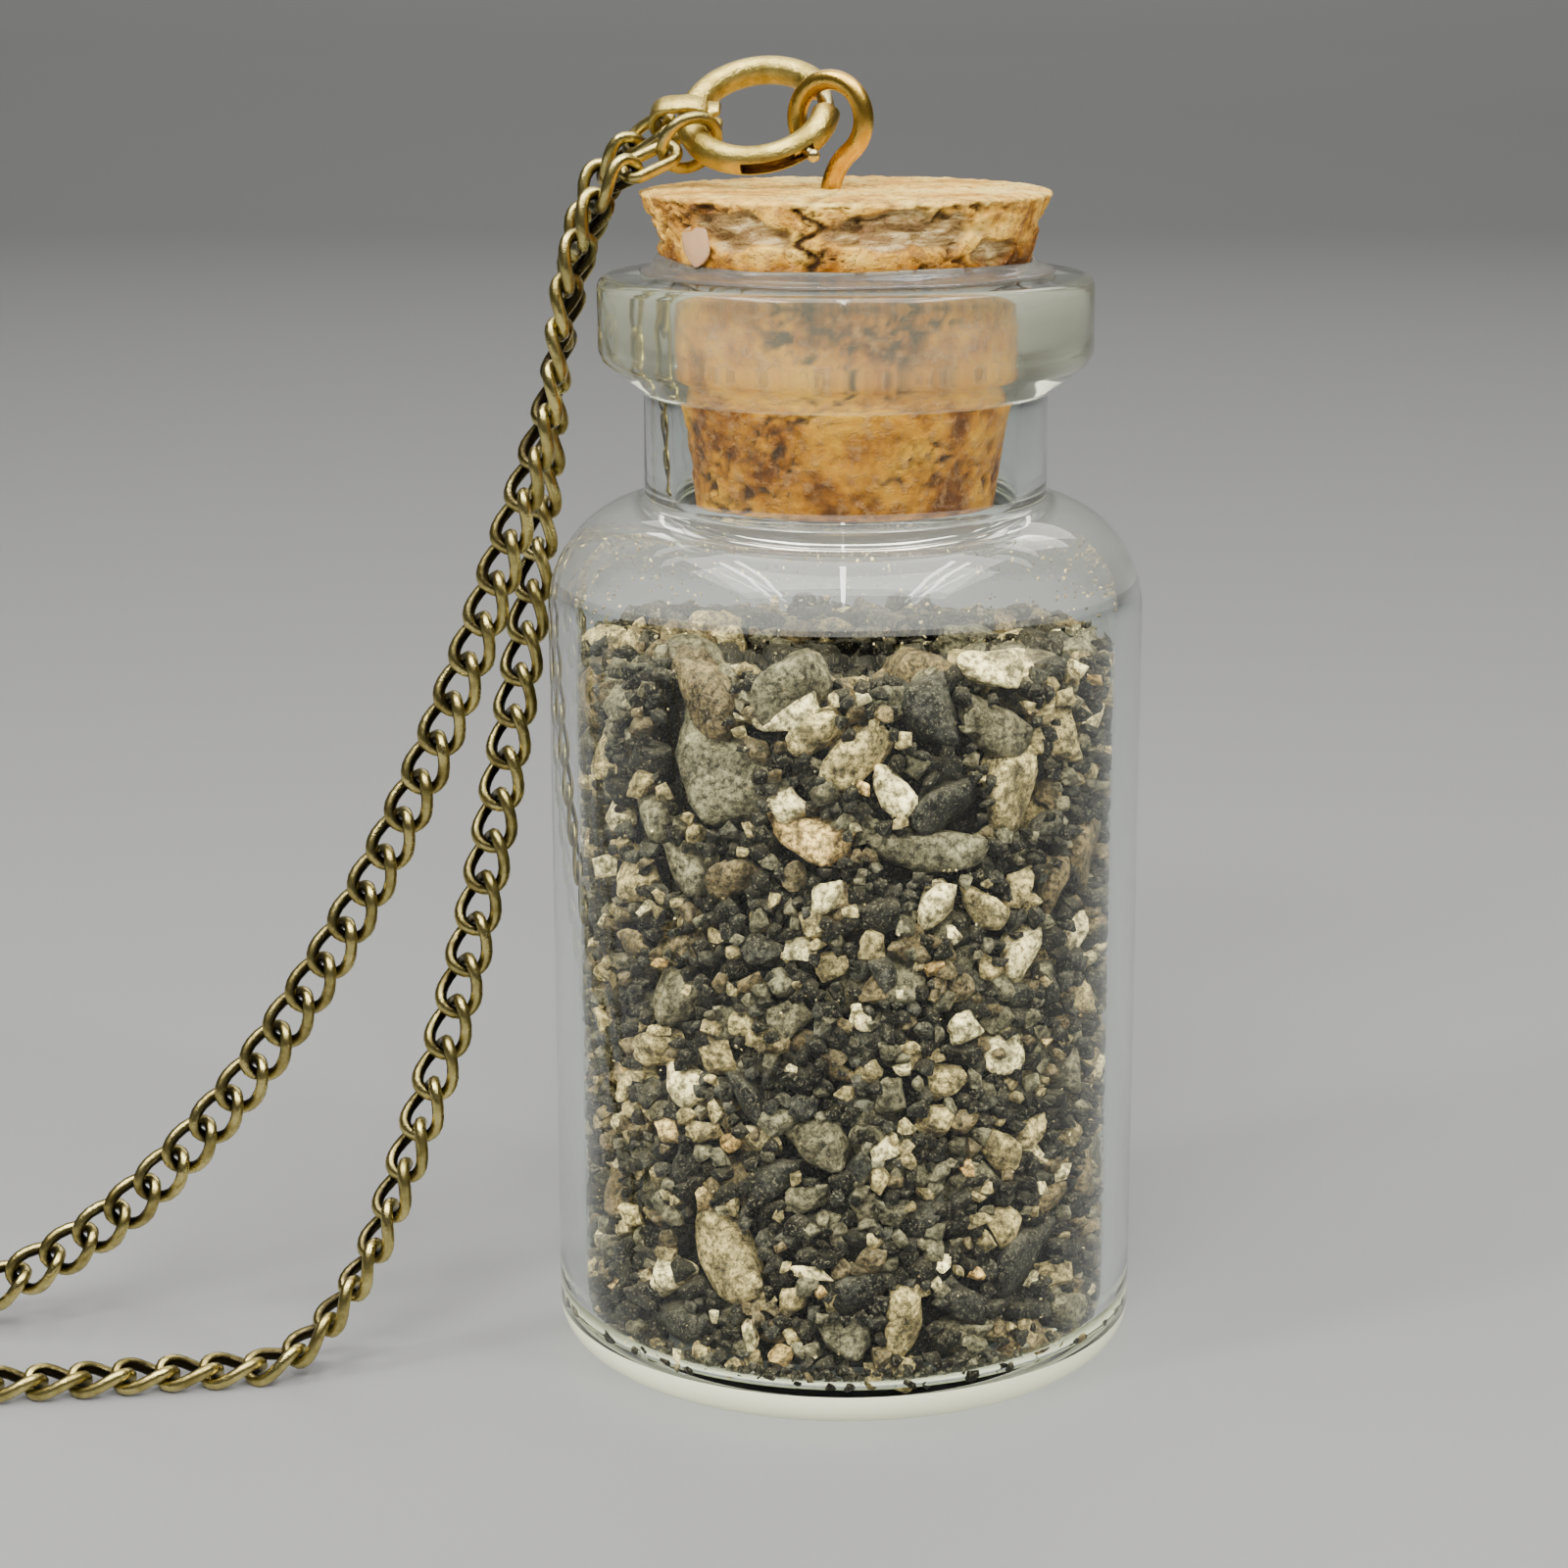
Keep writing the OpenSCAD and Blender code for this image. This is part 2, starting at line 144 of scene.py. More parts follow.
def arc(centre, radius, start_deg, end_deg, steps):
    turns = np.radians(np.linspace(start_deg, end_deg, steps))
    return [(centre[0] + radius * math.cos(a), centre[1] + radius * math.sin(a)) for a in turns]


def turned_mesh(profile, segments, wobble=None):
    """Points and faces of a closed outline of (radius, height) turned round Z, poles closed."""
    rings, points, faces = [], [], []
    for radius, height in profile:
        if radius < 1e-6:
            rings.append([len(points)])
            points.append((0, 0, height))
            continue
        rings.append(list(range(len(points), len(points) + segments)))
        for k in range(segments):
            turn = 2 * math.pi * k / segments
            grown = radius + (wobble(turn, radius, height) if wobble else 0)
            points.append((grown * math.cos(turn), grown * math.sin(turn), height))
    for low, high in zip(rings, rings[1:]):
        for k in range(segments):
            n = (k + 1) % segments
            if len(low) == 1:
                faces.append((low[0], high[n], high[k]))
            elif len(high) == 1:
                faces.append((low[k], low[n], high[0]))
            else:
                faces.append((low[k], low[n], high[n], high[k]))
    return points, faces


body_r, lip_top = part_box("bottle")[1].x / mm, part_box("bottle")[1].z / mm
wall, floor_t, heel_r, side_h, shoulder_r, inner_heel_r = 0.95, 1.2, 1.4, 28.3, 4.1, 0.925
neck_r, bore_r, fillet_r, outer_fillet_h, inner_fillet_h = 7.4, 6.4, 0.5, 4.49, 3.65
lip_r, lip_foot, lip_foot_r, lip_edge_r, mouth_r = 9.05, 36.2, 0.25, 0.45, 0.35
lip_low, lip_low_r = (8.15, 37.9), 0.9
kick, foot_w, foot_edge_r = 0.3, 1.1, 0.35
inner_r, shoulder_x, heel_x = body_r - wall, body_r - shoulder_r, body_r - heel_r
outline = (
    [(0, kick)] + [(heel_x - foot_w - t, kick * (1 - (0.3 - t / 24) ** 2)) for t in (6, 4, 2, 1)]
    + arc((heel_x - foot_w + foot_edge_r, foot_edge_r), foot_edge_r, 150, 270, 5)
    + arc((heel_x, heel_r), heel_r, -88, 0, 12)
    + [(body_r, z) for z in np.linspace(heel_r + 1, side_h - 0.6, 12)]
    + arc((shoulder_x, side_h), shoulder_r, 0, 76, 20)
    + arc((neck_r + fillet_r, side_h + outer_fillet_h), fillet_r, 250, 180, 6)
    + [(neck_r, z) for z in (34, 35, 35.9)]
    + arc((neck_r + lip_foot_r, lip_foot + 0.05), lip_foot_r, 180, 150, 3)
    + arc(lip_low, lip_low_r, -50, 0, 8) + [(lip_r, 38.6), (lip_r, 39.4)]
    + arc((lip_r - lip_edge_r, lip_top - lip_edge_r), lip_edge_r, 0, 90, 7)
    + arc((bore_r + mouth_r, lip_top - mouth_r), mouth_r, 90, 180, 7)
    + [(bore_r, z) for z in (39, 37.6, 36.2, 34.8, 33.4)]
    + arc((bore_r + fillet_r, side_h + inner_fillet_h), fillet_r, 180, 270, 6)
    + arc((shoulder_x, side_h), shoulder_r - wall, 88, 0, 18)
    + [(inner_r, z) for z in np.linspace(side_h - 0.8, floor_t + 1.8, 12)]
    + arc((inner_r - inner_heel_r, floor_t + inner_heel_r), inner_heel_r, 0, -90, 8)
    + [(7, floor_t - 0.05), (4, floor_t - 0.12), (0, floor_t - 0.15)])


def smooth_step(low, high, value):
    t = min(max((value - low) / (high - low), 0), 1)
    return t * t * (3 - 2 * t)


def hand_drawn(turn, radius, height):
    """The slight waves of tube that was softened and rolled, most of all round the shoulder and neck."""
    rolled = 1 / (1 + math.exp(-(height - side_h) / 1.5))
    around = Vector((math.cos(turn) * 1.3, math.sin(turn) * 1.3, height * 0.09))
    rings = 0.006 * math.sin(height * 7.3) * rolled
    return (0.014 + 0.02 * rolled) * noise.noise(around * 2.1) + rings


points, faces = turned_mesh(outline, 176, hand_drawn)
bottle = new_piece("glass_bottle", points, faces)
# Rougher frosted glass at the lip and heel; the heel part also picks the faces for the heel's painted glow.
frost = [smooth_step(35.9, 36.6, z) * smooth_step(6.9, 7.9, math.hypot(x, y))
         + smooth_step(1.6, 1.3, z) * smooth_step(8.9, 9.6, math.hypot(x, y)) for x, y, z in points]
film = [smooth_step(28.6, 29.6, z) * smooth_step(33.2, 32.4, z) for x, y, z in points]
mark_points(bottle.data, "frost", frost)
# The heel's finish is cream and lets only a quarter of the light through: painted light, for the glow that
# its thick glass carries.
for name, tint, clear, rough, shine in (("clear_glass", (0.91, 0.955, 0.925, 1), 1.0, 0.0, 0.4),
                                        ("flamed_lip", (0.93, 0.97, 0.74, 1), 0.935, 0.08, 1.0),
                                        ("flamed_heel", (0.97, 1.0, 0.72, 1), 0.26, 0.22, 1.0),
                                        ("dusty_shoulder", (0.95, 0.97, 0.93, 1), 0.94, 0.0, 1.0)):
    glass, tree, shader = new_material(name, IOR=1.44, Base_Color=tint, Transmission_Weight=clear,
                                       Specular_Tint=(shine, shine, shine, 1))
    drive(shader, Roughness=maths(tree, "MULTIPLY", point_value(tree, "frost"), rough))
    let_through = add_node(tree, "ShaderNodeBsdfTransparent", {"Color": (0.94, 0.96, 0.945, 1)})
    ray_kind = add_node(tree, "ShaderNodeLightPath")
    lamps_pass = add_node(tree, "ShaderNodeMixShader", {
        "Fac": ray_kind.outputs["Is Shadow Ray"], 1: shader.outputs["BSDF"], 2: let_through.outputs["BSDF"]})
    tree.links.new(lamps_pass.outputs["Shader"], tree.nodes["Material Output"].inputs["Surface"])
    bottle.data.materials.append(glass)
for face in bottle.data.polygons:
    if min(film[v] for v in face.vertices) > 0.2:
        face.material_index = 3
    elif min(frost[v] for v in face.vertices) > 0.2:
        face.material_index = 1 if face.center.z > 10 * mm else 2
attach(bottle, "pendant")
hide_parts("bottle")

# The gravel: natural river stones from grit to 4 mm, poured in and settled. The larger stones that show at
# the glass are placed one by one, and the rest are packed round them in falling sizes.
stone_kinds, full_kinds = 7, 3
stone_tones = {"black": 0.04, "slate": 0.2, "grey": 0.4, "brown": 0.52, "tan": 0.66, "cream": 0.84,
               "ochre": 0.96}
fill_z, dip, core_r, film_r, at_wall, close = 26.8, 2.2, 8.3, 0.07, 0.06, 0.75
# turn round the bottle in degrees from the front, height, width, length, thickness, lean in degrees, tone
placed_stones = [
    (-30, 23.9, 4.9, 3.1, 2.4, -38, "grey"), (39, 23.0, 2.5, 3.0, 1.9, 20, "tan"),
    (-27, 6.0, 3.9, 2.5, 1.7, -36, "tan"), (-13, 26.0, 2.6, 1.1, 1.2, 22, "cream"),
    (2.5, 24.6, 2.7, 1.7, 1.6, 30, "tan"), (10, 23.4, 1.7, 1.5, 1.3, -20, "cream"),
    (-8, 21.7, 3.0, 1.6, 1.5, -12, "ochre"), (21.5, 22.8, 2.6, 1.6, 1.5, 12, "slate"),
    (18, 21.2, 4.0, 1.7, 1.7, 8, "grey"), (-37, 12.1, 1.9, 1.4, 1.2, -8, "cream"),
    (13, 3.7, 1.4, 2.9, 1.3, 5, "tan"), (35, 9.8, 1.5, 1.7, 1.2, 0, "tan"),
    (-5.5, 10.4, 2.0, 2.2, 1.5, 20, "grey"), (-11.5, 26.9, 2.6, 2.2, 1.8, 20, "grey"),
    (-31.5, 26.4, 2.5, 2.6, 1.9, 0, "brown"), (18, 26.0, 1.9, 2.6, 1.6, 20, "slate"),
    (-68, 25.6, 2.3, 2.0, 1.5, 30, "brown"), (33, 25.4, 2.7, 2.0, 1.7, -10, "grey"),
    (-52, 19.4, 2.0, 1.6, 1.3, -25, "tan"), (41, 5.2, 2.2, 2.4, 1.5, 0, "slate"),
    (-39, 2.9, 2.6, 1.7, 1.6, 25, "slate"), (0, 3.1, 1.9, 1.5, 1.3, 0, "grey"),
    (62, 20.0, 2.2, 2.6, 1.5, 30, "brown"), (75, 8.0, 3.0, 2.1, 1.6, -30, "grey"),
    (100, 22.5, 3.6, 2.6, 1.9, 35, "slate"), (128, 12.5, 2.6, 3.2, 1.8, 10, "tan"),
    (150, 24.6, 3.0, 2.2, 1.8, -15, "grey"), (176, 17.5, 4.2, 2.8, 2.0, 25, "brown"),
    (205, 8.0, 3.4, 2.4, 1.8, -35, "grey"), (222, 22.0, 2.4, 3.2, 1.7, 15, "cream"),
    (246, 14.0, 3.2, 2.2, 1.7, -20, "slate"), (268, 5.5, 2.6, 2.0, 1.5, 10, "tan"),
    (-82, 12.0, 2.6, 2.0, 1.5, 40, "grey"), (-60, 7.0, 2.2, 1.7, 1.3, 0, "brown"),
    (-6, 25.5, 1.9, 1.4, 1.3, 15, "tan"), (-11.5, 22.9, 1.3, 1.2, 1.1, 20, "cream"),
    (-63, 23.6, 1.8, 1.8, 1.3, 0, "tan"), (-58, 21.4, 1.5, 1.4, 1.2, 0, "cream"),
    (-45, 21.9, 1.8, 1.7, 1.4, 0, "grey"), (-3.5, 19.7, 1.1, 1.2, 1.0, 0, "cream"),
    (-24, 20.1, 1.7, 1.4, 1.2, 10, "brown"), (-36, 20.2, 1.9, 1.8, 1.4, 0, "grey"),
    (52, 24.6, 1.8, 2.3, 1.5, 10, "tan"), (66, 24.8, 1.5, 1.3, 1.2, 0, "cream"),
    (65, 22.9, 1.5, 1.0, 1.1, 0, "tan"), (33, 27.4, 2.4, 1.3, 1.4, 0, "cream"),
    (19.5, 19.2, 1.4, 1.6, 1.2, 0, "cream"), (30.5, 18.9, 1.7, 1.4, 1.2, -10, "tan"),
    (39.5, 19.5, 1.2, 1.4, 1.1, 0, "tan"), (50, 19.2, 1.2, 2.0, 1.3, 0, "brown"),
    (69, 20.7, 1.4, 1.3, 1.1, 0, "grey"), (-8, 8.5, 1.5, 1.0, 1.0, 0, "grey"),
    (-57, 9.9, 1.2, 0.7, 0.8, 35, "cream"), (-40, 10.3, 0.9, 1.0, 0.8, 0, "ochre"),
    (-31, 10.6, 1.4, 0.8, 0.9, 0, "tan"), (-24, 10.3, 1.0, 0.7, 0.8, 15, "ochre"),
    (-52, 6.5, 1.0, 0.9, 0.8, 0, "tan"), (-66, 4.9, 1.2, 0.8, 0.8, 0, "cream"),
    (-20, 3.0, 0.6, 1.3, 0.7, 12, "cream"), (-6.5, 5.7, 1.5, 0.5, 0.6, -10, "cream"),
    (-11, 4.6, 0.9, 1.1, 0.9, 0, "tan"), (-13.5, 2.4, 0.9, 0.8, 0.8, 0, "ochre"),
    (-21, 12.1, 1.1, 2.0, 1.3, 15, "slate"), (-12, 15.2, 1.5, 1.3, 1.1, 20, "grey"),
    (22, 12.6, 1.4, 1.2, 1.1, 0, "tan"), (10, 12.3, 1.2, 1.4, 1.1, -15, "grey"),
    (44, 10.2, 1.3, 1.2, 1.0, 0, "tan"), (-2.5, 17.1, 1.3, 1.0, 1.0, 10, "tan"),
    (6, 17.9, 1.0, 1.2, 0.9, -20, "tan"), (-40.5, 15.4, 2.0, 2.2, 1.6, -25, "grey"),
    (41, 16.9, 1.9, 1.7, 1.4, 15, "cream"), (26.5, 14.6, 1.4, 1.2, 1.1, 0, "cream"),
    (61, 14.5, 1.6, 1.4, 1.1, 0, "tan"), (-44, 13.2, 1.6, 1.4, 1.2, 0, "tan"),
    (-27.5, 13.5, 1.3, 1.5, 1.1, 0, "tan"), (-17, 17.6, 1.5, 1.2, 1.1, -30, "slate"),
    (37, 6.7, 1.2, 1.4, 1.0, 20, "tan"), (26, 4.2, 1.7, 1.5, 1.2, 0, "slate"),
    (56, 12.0, 1.3, 1.9, 1.2, -10, "grey"), (50, 7.4, 1.4, 1.2, 1.0, 0, "brown"),
    (-50, 17.0, 1.4, 1.0, 1.0, 0, "brown"), (58, 17.2, 1.5, 1.3, 1.1, 0, "cream"),
]
draw = np.random.default_rng(58)


def heap_z(radius):
    return fill_z - dip * math.cos(math.radians(90 * min(radius / core_r, 1))) ** 2


def at_turn(turn, depth, height):
    """The point at a turn from the front, a distance from the axis and a height."""
    return depth * math.sin(turn), -depth * math.cos(turn), height


def any_turn(size=None):
    return draw.uniform(0, 2 * math.pi, size)


def chipped_stone(name, seed, splits, cuts, worn, full):
    """A stone 2 units across: a block split along planes, its edges then worn off and its faces made uneven.
    A full one reaches 1 unit along each axis."""
    chips = np.random.default_rng(seed)
    bm = bmesh.new()
    bmesh.ops.create_cube(bm, size=1.9)
    for split in range(splits):
        way = Vector(chips.normal(size=3)).normalized()
        sliced = bmesh.ops.bisect_plane(bm, geom=bm.verts[:] + bm.edges[:] + bm.faces[:], plane_no=way,
                                        plane_co=way * float(chips.uniform(0.6, 0.95)), clear_outer=True)
        rim = [part for part in sliced["geom_cut"] if isinstance(part, bmesh.types.BMEdge)]
        bmesh.ops.holes_fill(bm, edges=rim)
    bmesh.ops.remove_doubles(bm, verts=bm.verts[:], dist=0.1)
    bmesh.ops.triangulate(bm, faces=bm.faces[:])
    if cuts:
        bmesh.ops.subdivide_edges(bm, edges=bm.edges[:], cuts=cuts, use_grid_fill=True)
        bmesh.ops.triangulate(bm, faces=bm.faces[:])
    for k in range(worn):
        bmesh.ops.smooth_vert(bm, verts=bm.verts[:], factor=0.5,
                              use_axis_x=True, use_axis_y=True, use_axis_z=True)
    shift = Vector(chips.uniform(-9, 9, 3))
    for vert in bm.verts:
        vert.co *= 1 + 0.16 * noise.noise(vert.co * 1.7 + shift) + 0.07 * noise.noise(vert.co * 4.5 + shift)
    if full:
        for axis in range(3):
            low, high = min(vert.co[axis] for vert in bm.verts), max(vert.co[axis] for vert in bm.verts)
            for vert in bm.verts:
                vert.co[axis] = (2 * vert.co[axis] - low - high) / (high - low)
    bmesh.ops.recalc_face_normals(bm, faces=bm.faces[:])
    mesh = bpy.data.meshes.new(name)
    bm.to_mesh(mesh)
    bm.free()
    mesh.polygons.foreach_set("use_smooth", [cuts > 1] * len(mesh.polygons))
    return bpy.data.objects.new(name, mesh)


def pack_stones():
    """Places, half sizes, turns and tones of all stones at the wall and on the heap, largest first."""
    laid, taken = [], []
    for turn_deg, height, width, length, thick, lean_deg, tone in placed_stones:
        turn, lean = math.radians(turn_deg), math.radians(lean_deg)
        spot = Vector(at_turn(turn, inner_r - 0.12 - thick / 2, height))
        laid.append((tuple(spot), (width * 0.54, thick / 2, length * 0.54), (0, -lean, turn),
                     stone_tones[tone] + draw.uniform(-0.02, 0.02)))
        # the room that a long stone takes is its middle and its two ends
        short, spare = min(width, length), abs(width - length) / 2
        across, up = (math.cos(lean), math.sin(lean)) if width > length else (-math.sin(lean), math.cos(lean))
        along = Vector((across * math.cos(turn), across * math.sin(turn), up)) * spare
        taken += [(*spot, 0.75 * short)] + [(*(spot + along * end), 0.68 * short) for end in (-0.9, 0.9)]
    taken = np.array(taken)
    tone_names = list(stone_tones)
    # smallest and largest half size, how many, and the share of each tone
    for low, high, wanted, shares in (
            (0.85, 1.35, 240, (0.14, 0.20, 0.33, 0.15, 0.14, 0.02, 0.02)),
            (0.5, 0.85, 950, (0.24, 0.18, 0.24, 0.13, 0.16, 0.04, 0.01)),
            (0.3, 0.5, 1900, (0.38, 0.17, 0.18, 0.11, 0.12, 0.03, 0.01)),
            (0.18, 0.3, 2700, (0.54, 0.16, 0.11, 0.08, 0.08, 0.02, 0.01))):
        tries = draw.uniform(size=(wanted * 9, 4))
        reaches = draw.uniform(low, high, wanted * 9)
        kept = 0
        for (a, b, c, d), reach in zip(tries, reaches):
            if d < 0.8:
                depth = inner_r - at_wall - reach * (0.8 + 1.1 * c)
                height = floor_t + 0.1 + reach * 0.7 + b * (fill_z - floor_t - 0.2 - reach)
            else:
                depth = (inner_r - reach) * math.sqrt(b)
                height = heap_z(depth) - 0.5 + 0.9 * c - reach * 0.3
            spot = at_turn(2 * math.pi * a, depth, height)
            if np.all(np.sum((taken[:, :3] - spot) ** 2, 1) > (close * (taken[:, 3] + reach)) ** 2):
                taken = np.vstack([taken, (*spot, reach)])
                half_size, turned = reach * 1.22 * draw.uniform(0.6, 1, 3), any_turn(3)
                tone = stone_tones[draw.choice(tone_names, p=shares)] + draw.uniform(-0.03, 0.03)
                # Stones in the middle of the heap, under the cork, get a fifth of their tone: painted shade.
                under_cork_shade = math.hypot(spot[0], spot[1]) < 4.4
                laid.append((spot, half_size, turned, tone * 0.2 if under_cork_shade else tone))
                kept += 1
                if kept == wanted:
                    break
    # dust on the glass, two grains of three up the inside of the shoulder
    shoulder_in = shoulder_r - wall - film_r
    for k in range(1900):
        turn, climb = any_turn(), draw.uniform()
        over = math.radians(85 * climb if k % 3 else 0)
        height = side_h + shoulder_in * math.sin(over) if k % 3 else 1.8 + 26 * climb
        laid.append((at_turn(turn, shoulder_x + shoulder_in * math.cos(over), height),
                     draw.uniform(0.02, 0.06, 3), any_turn(3), draw.uniform(0.35, 0.8)))
    # grit that has run down into the rounded corner of the floor
    for k in range(1000):
        turn, lift = any_turn(), draw.uniform(0, math.pi / 2)
        reach = draw.uniform(0.08, 0.2)
        depth = inner_r - inner_heel_r + (0.9 - reach) * math.sin(lift) - 0.3 * (k % 4 == 0)
        laid.append((at_turn(turn, depth, floor_t + inner_heel_r - (0.9 - reach) * math.cos(lift)),
                     reach * draw.uniform(0.7, 1.1, 3), any_turn(3), draw.uniform(0, 0.6) * draw.uniform()))
    return [np.array(column) for column in zip(*laid)]


def tree_input(tree, name, kind, value=None):
    socket = tree.interface.new_socket(name, in_out="INPUT", socket_type=kind)
    if value is not None:
        socket.default_value = value
    return socket.identifier


def geometry_tree(name, *asked):
    """A geometry tree, its input node's outputs, and the identifiers of the inputs that are asked for."""
    tree = bpy.data.node_groups.new(name, "GeometryNodeTree")
    tree_input(tree, "Geometry", "NodeSocketGeometry")
    identifiers = [tree_input(tree, *one) for one in asked]
    tree.interface.new_socket("Geometry", in_out="OUTPUT", socket_type="NodeSocketGeometry")
    return tree, tree.nodes.new("NodeGroupInput").outputs, identifiers


def finish_tree(tree, shape, finish):
    """Ends a geometry tree: sets the material and hands the shape out."""
    finished = add_node(tree, "GeometryNodeSetMaterial", {"Geometry": shape, "Material": finish})
    add_node(tree, "NodeGroupOutput", {0: finished.outputs[0]})


def settle_nodes(piece, tree, values, material):
    """Runs a geometry tree on a piece, keeps its result as the piece's mesh and removes the modifier."""
    modifier = piece.modifiers.new("grow", "NODES")
    modifier.node_group = tree
    for identifier, value in values.items():
        modifier[identifier] = value
    bpy.context.view_layer.update()
    grown = bpy.data.meshes.new_from_object(piece.evaluated_get(bpy.context.evaluated_depsgraph_get()))
    piece.modifiers.clear()
    piece.data = grown
    grown.name = piece.name
    if material.name not in [m.name for m in grown.materials if m]:
        grown.materials.append(material)


def named(tree, name, kind="FLOAT_VECTOR"):
    node = add_node(tree, "GeometryNodeInputNamedAttribute", {"Name": name}, data_type=kind)
    return node.outputs["Attribute"]


def scaled(tree, vector, by):
    return add_node(tree, "ShaderNodeVectorMath", {0: vector, 1: by}, operation="MULTIPLY").outputs["Vector"]


gravel_tree, given, (stones_in, wall_in, finish_in) = geometry_tree(
    "settled_gravel", ("Stones", "NodeSocketCollection"), ("Glass radius", "NodeSocketFloat", 0.01),
    ("Stone finish", "NodeSocketMaterial"))
kinds = add_node(gravel_tree, "GeometryNodeCollectionInfo", {
    "Collection": given["Stones"], "Separate Children": True, "Reset Children": True})
turned = add_node(gravel_tree, "FunctionNodeEulerToRotation", {0: named(gravel_tree, "turn")})
laid = add_node(gravel_tree, "GeometryNodeInstanceOnPoints", {
    "Points": given["Geometry"], "Instance": kinds.outputs[0], "Pick Instance": True,
    "Instance Index": named(gravel_tree, "kind", "INT"), "Rotation": turned.outputs[0],
    "Scale": named(gravel_tree, "size")})
real = add_node(gravel_tree, "GeometryNodeRealizeInstances", {0: laid.outputs[0]})
where = add_node(gravel_tree, "GeometryNodeInputPosition").outputs[0]
out_from_axis = add_node(gravel_tree, "ShaderNodeVectorMath", {0: scaled(gravel_tree, where, (1, 1, 0))},
                         operation="LENGTH")
room = maths(gravel_tree, "DIVIDE", given["Glass radius"], out_from_axis.outputs["Value"])
held_in = maths(gravel_tree, "MINIMUM", room, 1.0)
inward = add_node(gravel_tree, "ShaderNodeCombineXYZ", {"X": held_in, "Y": held_in, "Z": 1.0})
at_glass = add_node(gravel_tree, "GeometryNodeSetPosition", {
    "Geometry": real.outputs[0], "Position": scaled(gravel_tree, where, inward.outputs[0])})
# How far each point faces up. The finish uses it to paint upper faces lighter and undersides darker, as
# painted light and shade, and to lay dust on the upper faces.
facing = add_node(gravel_tree, "GeometryNodeInputNormal")
upward = add_node(gravel_tree, "ShaderNodeSeparateXYZ", {0: facing.outputs[0]})
stored_dust_and_top_light = add_node(gravel_tree, "GeometryNodeStoreNamedAttribute", {
    "Geometry": at_glass.outputs[0], "Name": "dust", "Value": upward.outputs["Z"]},
    data_type="FLOAT", domain="POINT")
finish_tree(gravel_tree, stored_dust_and_top_light.outputs[0], given["Stone finish"])


def remap(tree, value, low, high, to_low=0.0, to_high=1.0):
    """A value between low and high, taken to the same place between to_low and to_high."""
    return add_node(tree, "ShaderNodeMapRange", {"Value": value, "From Min": low, "From Max": high,
                                                 "To Min": to_low, "To Max": to_high}).outputs[0]


# Mineral grain: flecks and clouds inside a stone or the cork's bark, shared by their finishes.
grain = bpy.data.node_groups.new("mineral_grain", "ShaderNodeTree")
tree_input(grain, "Scale", "NodeSocketFloat", 900.0)
tree_input(grain, "Flecks", "NodeSocketFloat", 0.5)
grain.interface.new_socket("Clouds", in_out="OUTPUT", socket_type="NodeSocketFloat")
grain.interface.new_socket("Fleck", in_out="OUTPUT", socket_type="NodeSocketFloat")
given = grain.nodes.new("NodeGroupInput").outputs
spot = add_node(grain, "ShaderNodeTexCoord").outputs["Object"]
clouds = add_node(grain, "ShaderNodeTexNoise", {"Vector": spot, "Scale": given["Scale"], "Detail": 6.0,
                                                "Roughness": 0.65})
finer = maths(grain, "MULTIPLY", given["Scale"], 5.5)
fleck = add_node(grain, "ShaderNodeTexNoise", {"Vector": spot, "Scale": finer, "Detail": 3.0,
                                               "Roughness": 0.7})
add_node(grain, "NodeGroupOutput", {
    "Clouds": clouds.outputs[0], "Fleck": remap(grain, fleck.outputs[0], 0.51, 0.62, 0.0, given["Flecks"])})


def grained(tree, scale, flecks):
    """The clouds and the flecks of mineral grain."""
    return add_node(tree, "ShaderNodeGroup", {"Scale": scale, "Flecks": flecks}, node_tree=grain).outputs


def ramp(tree, factor, stops):
    """A colour ramp with its stops as (place, (red, green, blue))."""
    node = add_node(tree, "ShaderNodeValToRGB", {"Fac": factor})
    while len(node.color_ramp.elements) < len(stops):
        node.color_ramp.elements.new(0.5)
    for element, (place, colour) in zip(node.color_ramp.elements, stops):
        element.position = place
        element.color = (*colour, 1)
    return node.outputs["Color"]


def mix(tree, factor, first, second, blend="MIX"):
    inputs = {0: factor, 6: first, 7: second}
    return add_node(tree, "ShaderNodeMix", inputs, data_type="RGBA", blend_type=blend).outputs[2]


def times(tree, first, second):
    return mix(tree, 1.0, first, second, "MULTIPLY")


def bump(tree, height, strength, depth, **under):
    """A bump of a depth in millimetres, on top of another if one is given as Normal."""
    inputs = {"Height": height, "Strength": strength, "Distance": depth * mm, **under}
    return add_node(tree, "ShaderNodeBump", inputs).outputs[0]


stone_finish, tree, shader = new_material("river_stone", Specular_IOR_Level=0.16)
fine, coarse, crystals = grained(tree, 4200.0, 0.6), grained(tree, 1100.0, 0.8), grained(tree, 1700.0, 1.0)
stone_colour = ramp(tree, point_value(tree, "tone"), [
    (0.0, (0.007, 0.006, 0.0045)), (0.2, (0.036, 0.034, 0.028)), (0.4, (0.165, 0.145, 0.086)),
    (0.52, (0.150, 0.105, 0.048)), (0.66, (0.42, 0.32, 0.140)), (0.84, (0.93, 0.77, 0.40)),
    (0.97, (0.56, 0.34, 0.11))])
cloudy = times(tree, stone_colour, remap(tree, coarse["Clouds"], 0.38, 0.62, 0.4, 1.55))
clouded = times(tree, cloudy, remap(tree, fine["Clouds"], 0.4, 0.6, 0.3, 1.8))
peppered = mix(tree, coarse["Fleck"], clouded, times(tree, clouded, (0.22, 0.21, 0.2, 1)))
light_grain = maths(tree, "MULTIPLY", fine["Fleck"], coarse["Clouds"])
flecked = mix(tree, light_grain, peppered, times(tree, clouded, (3.2, 3.1, 2.7, 1)))
glints = remap(tree, crystals["Fleck"], 0.5, 1.0, 0.0, 0.62)
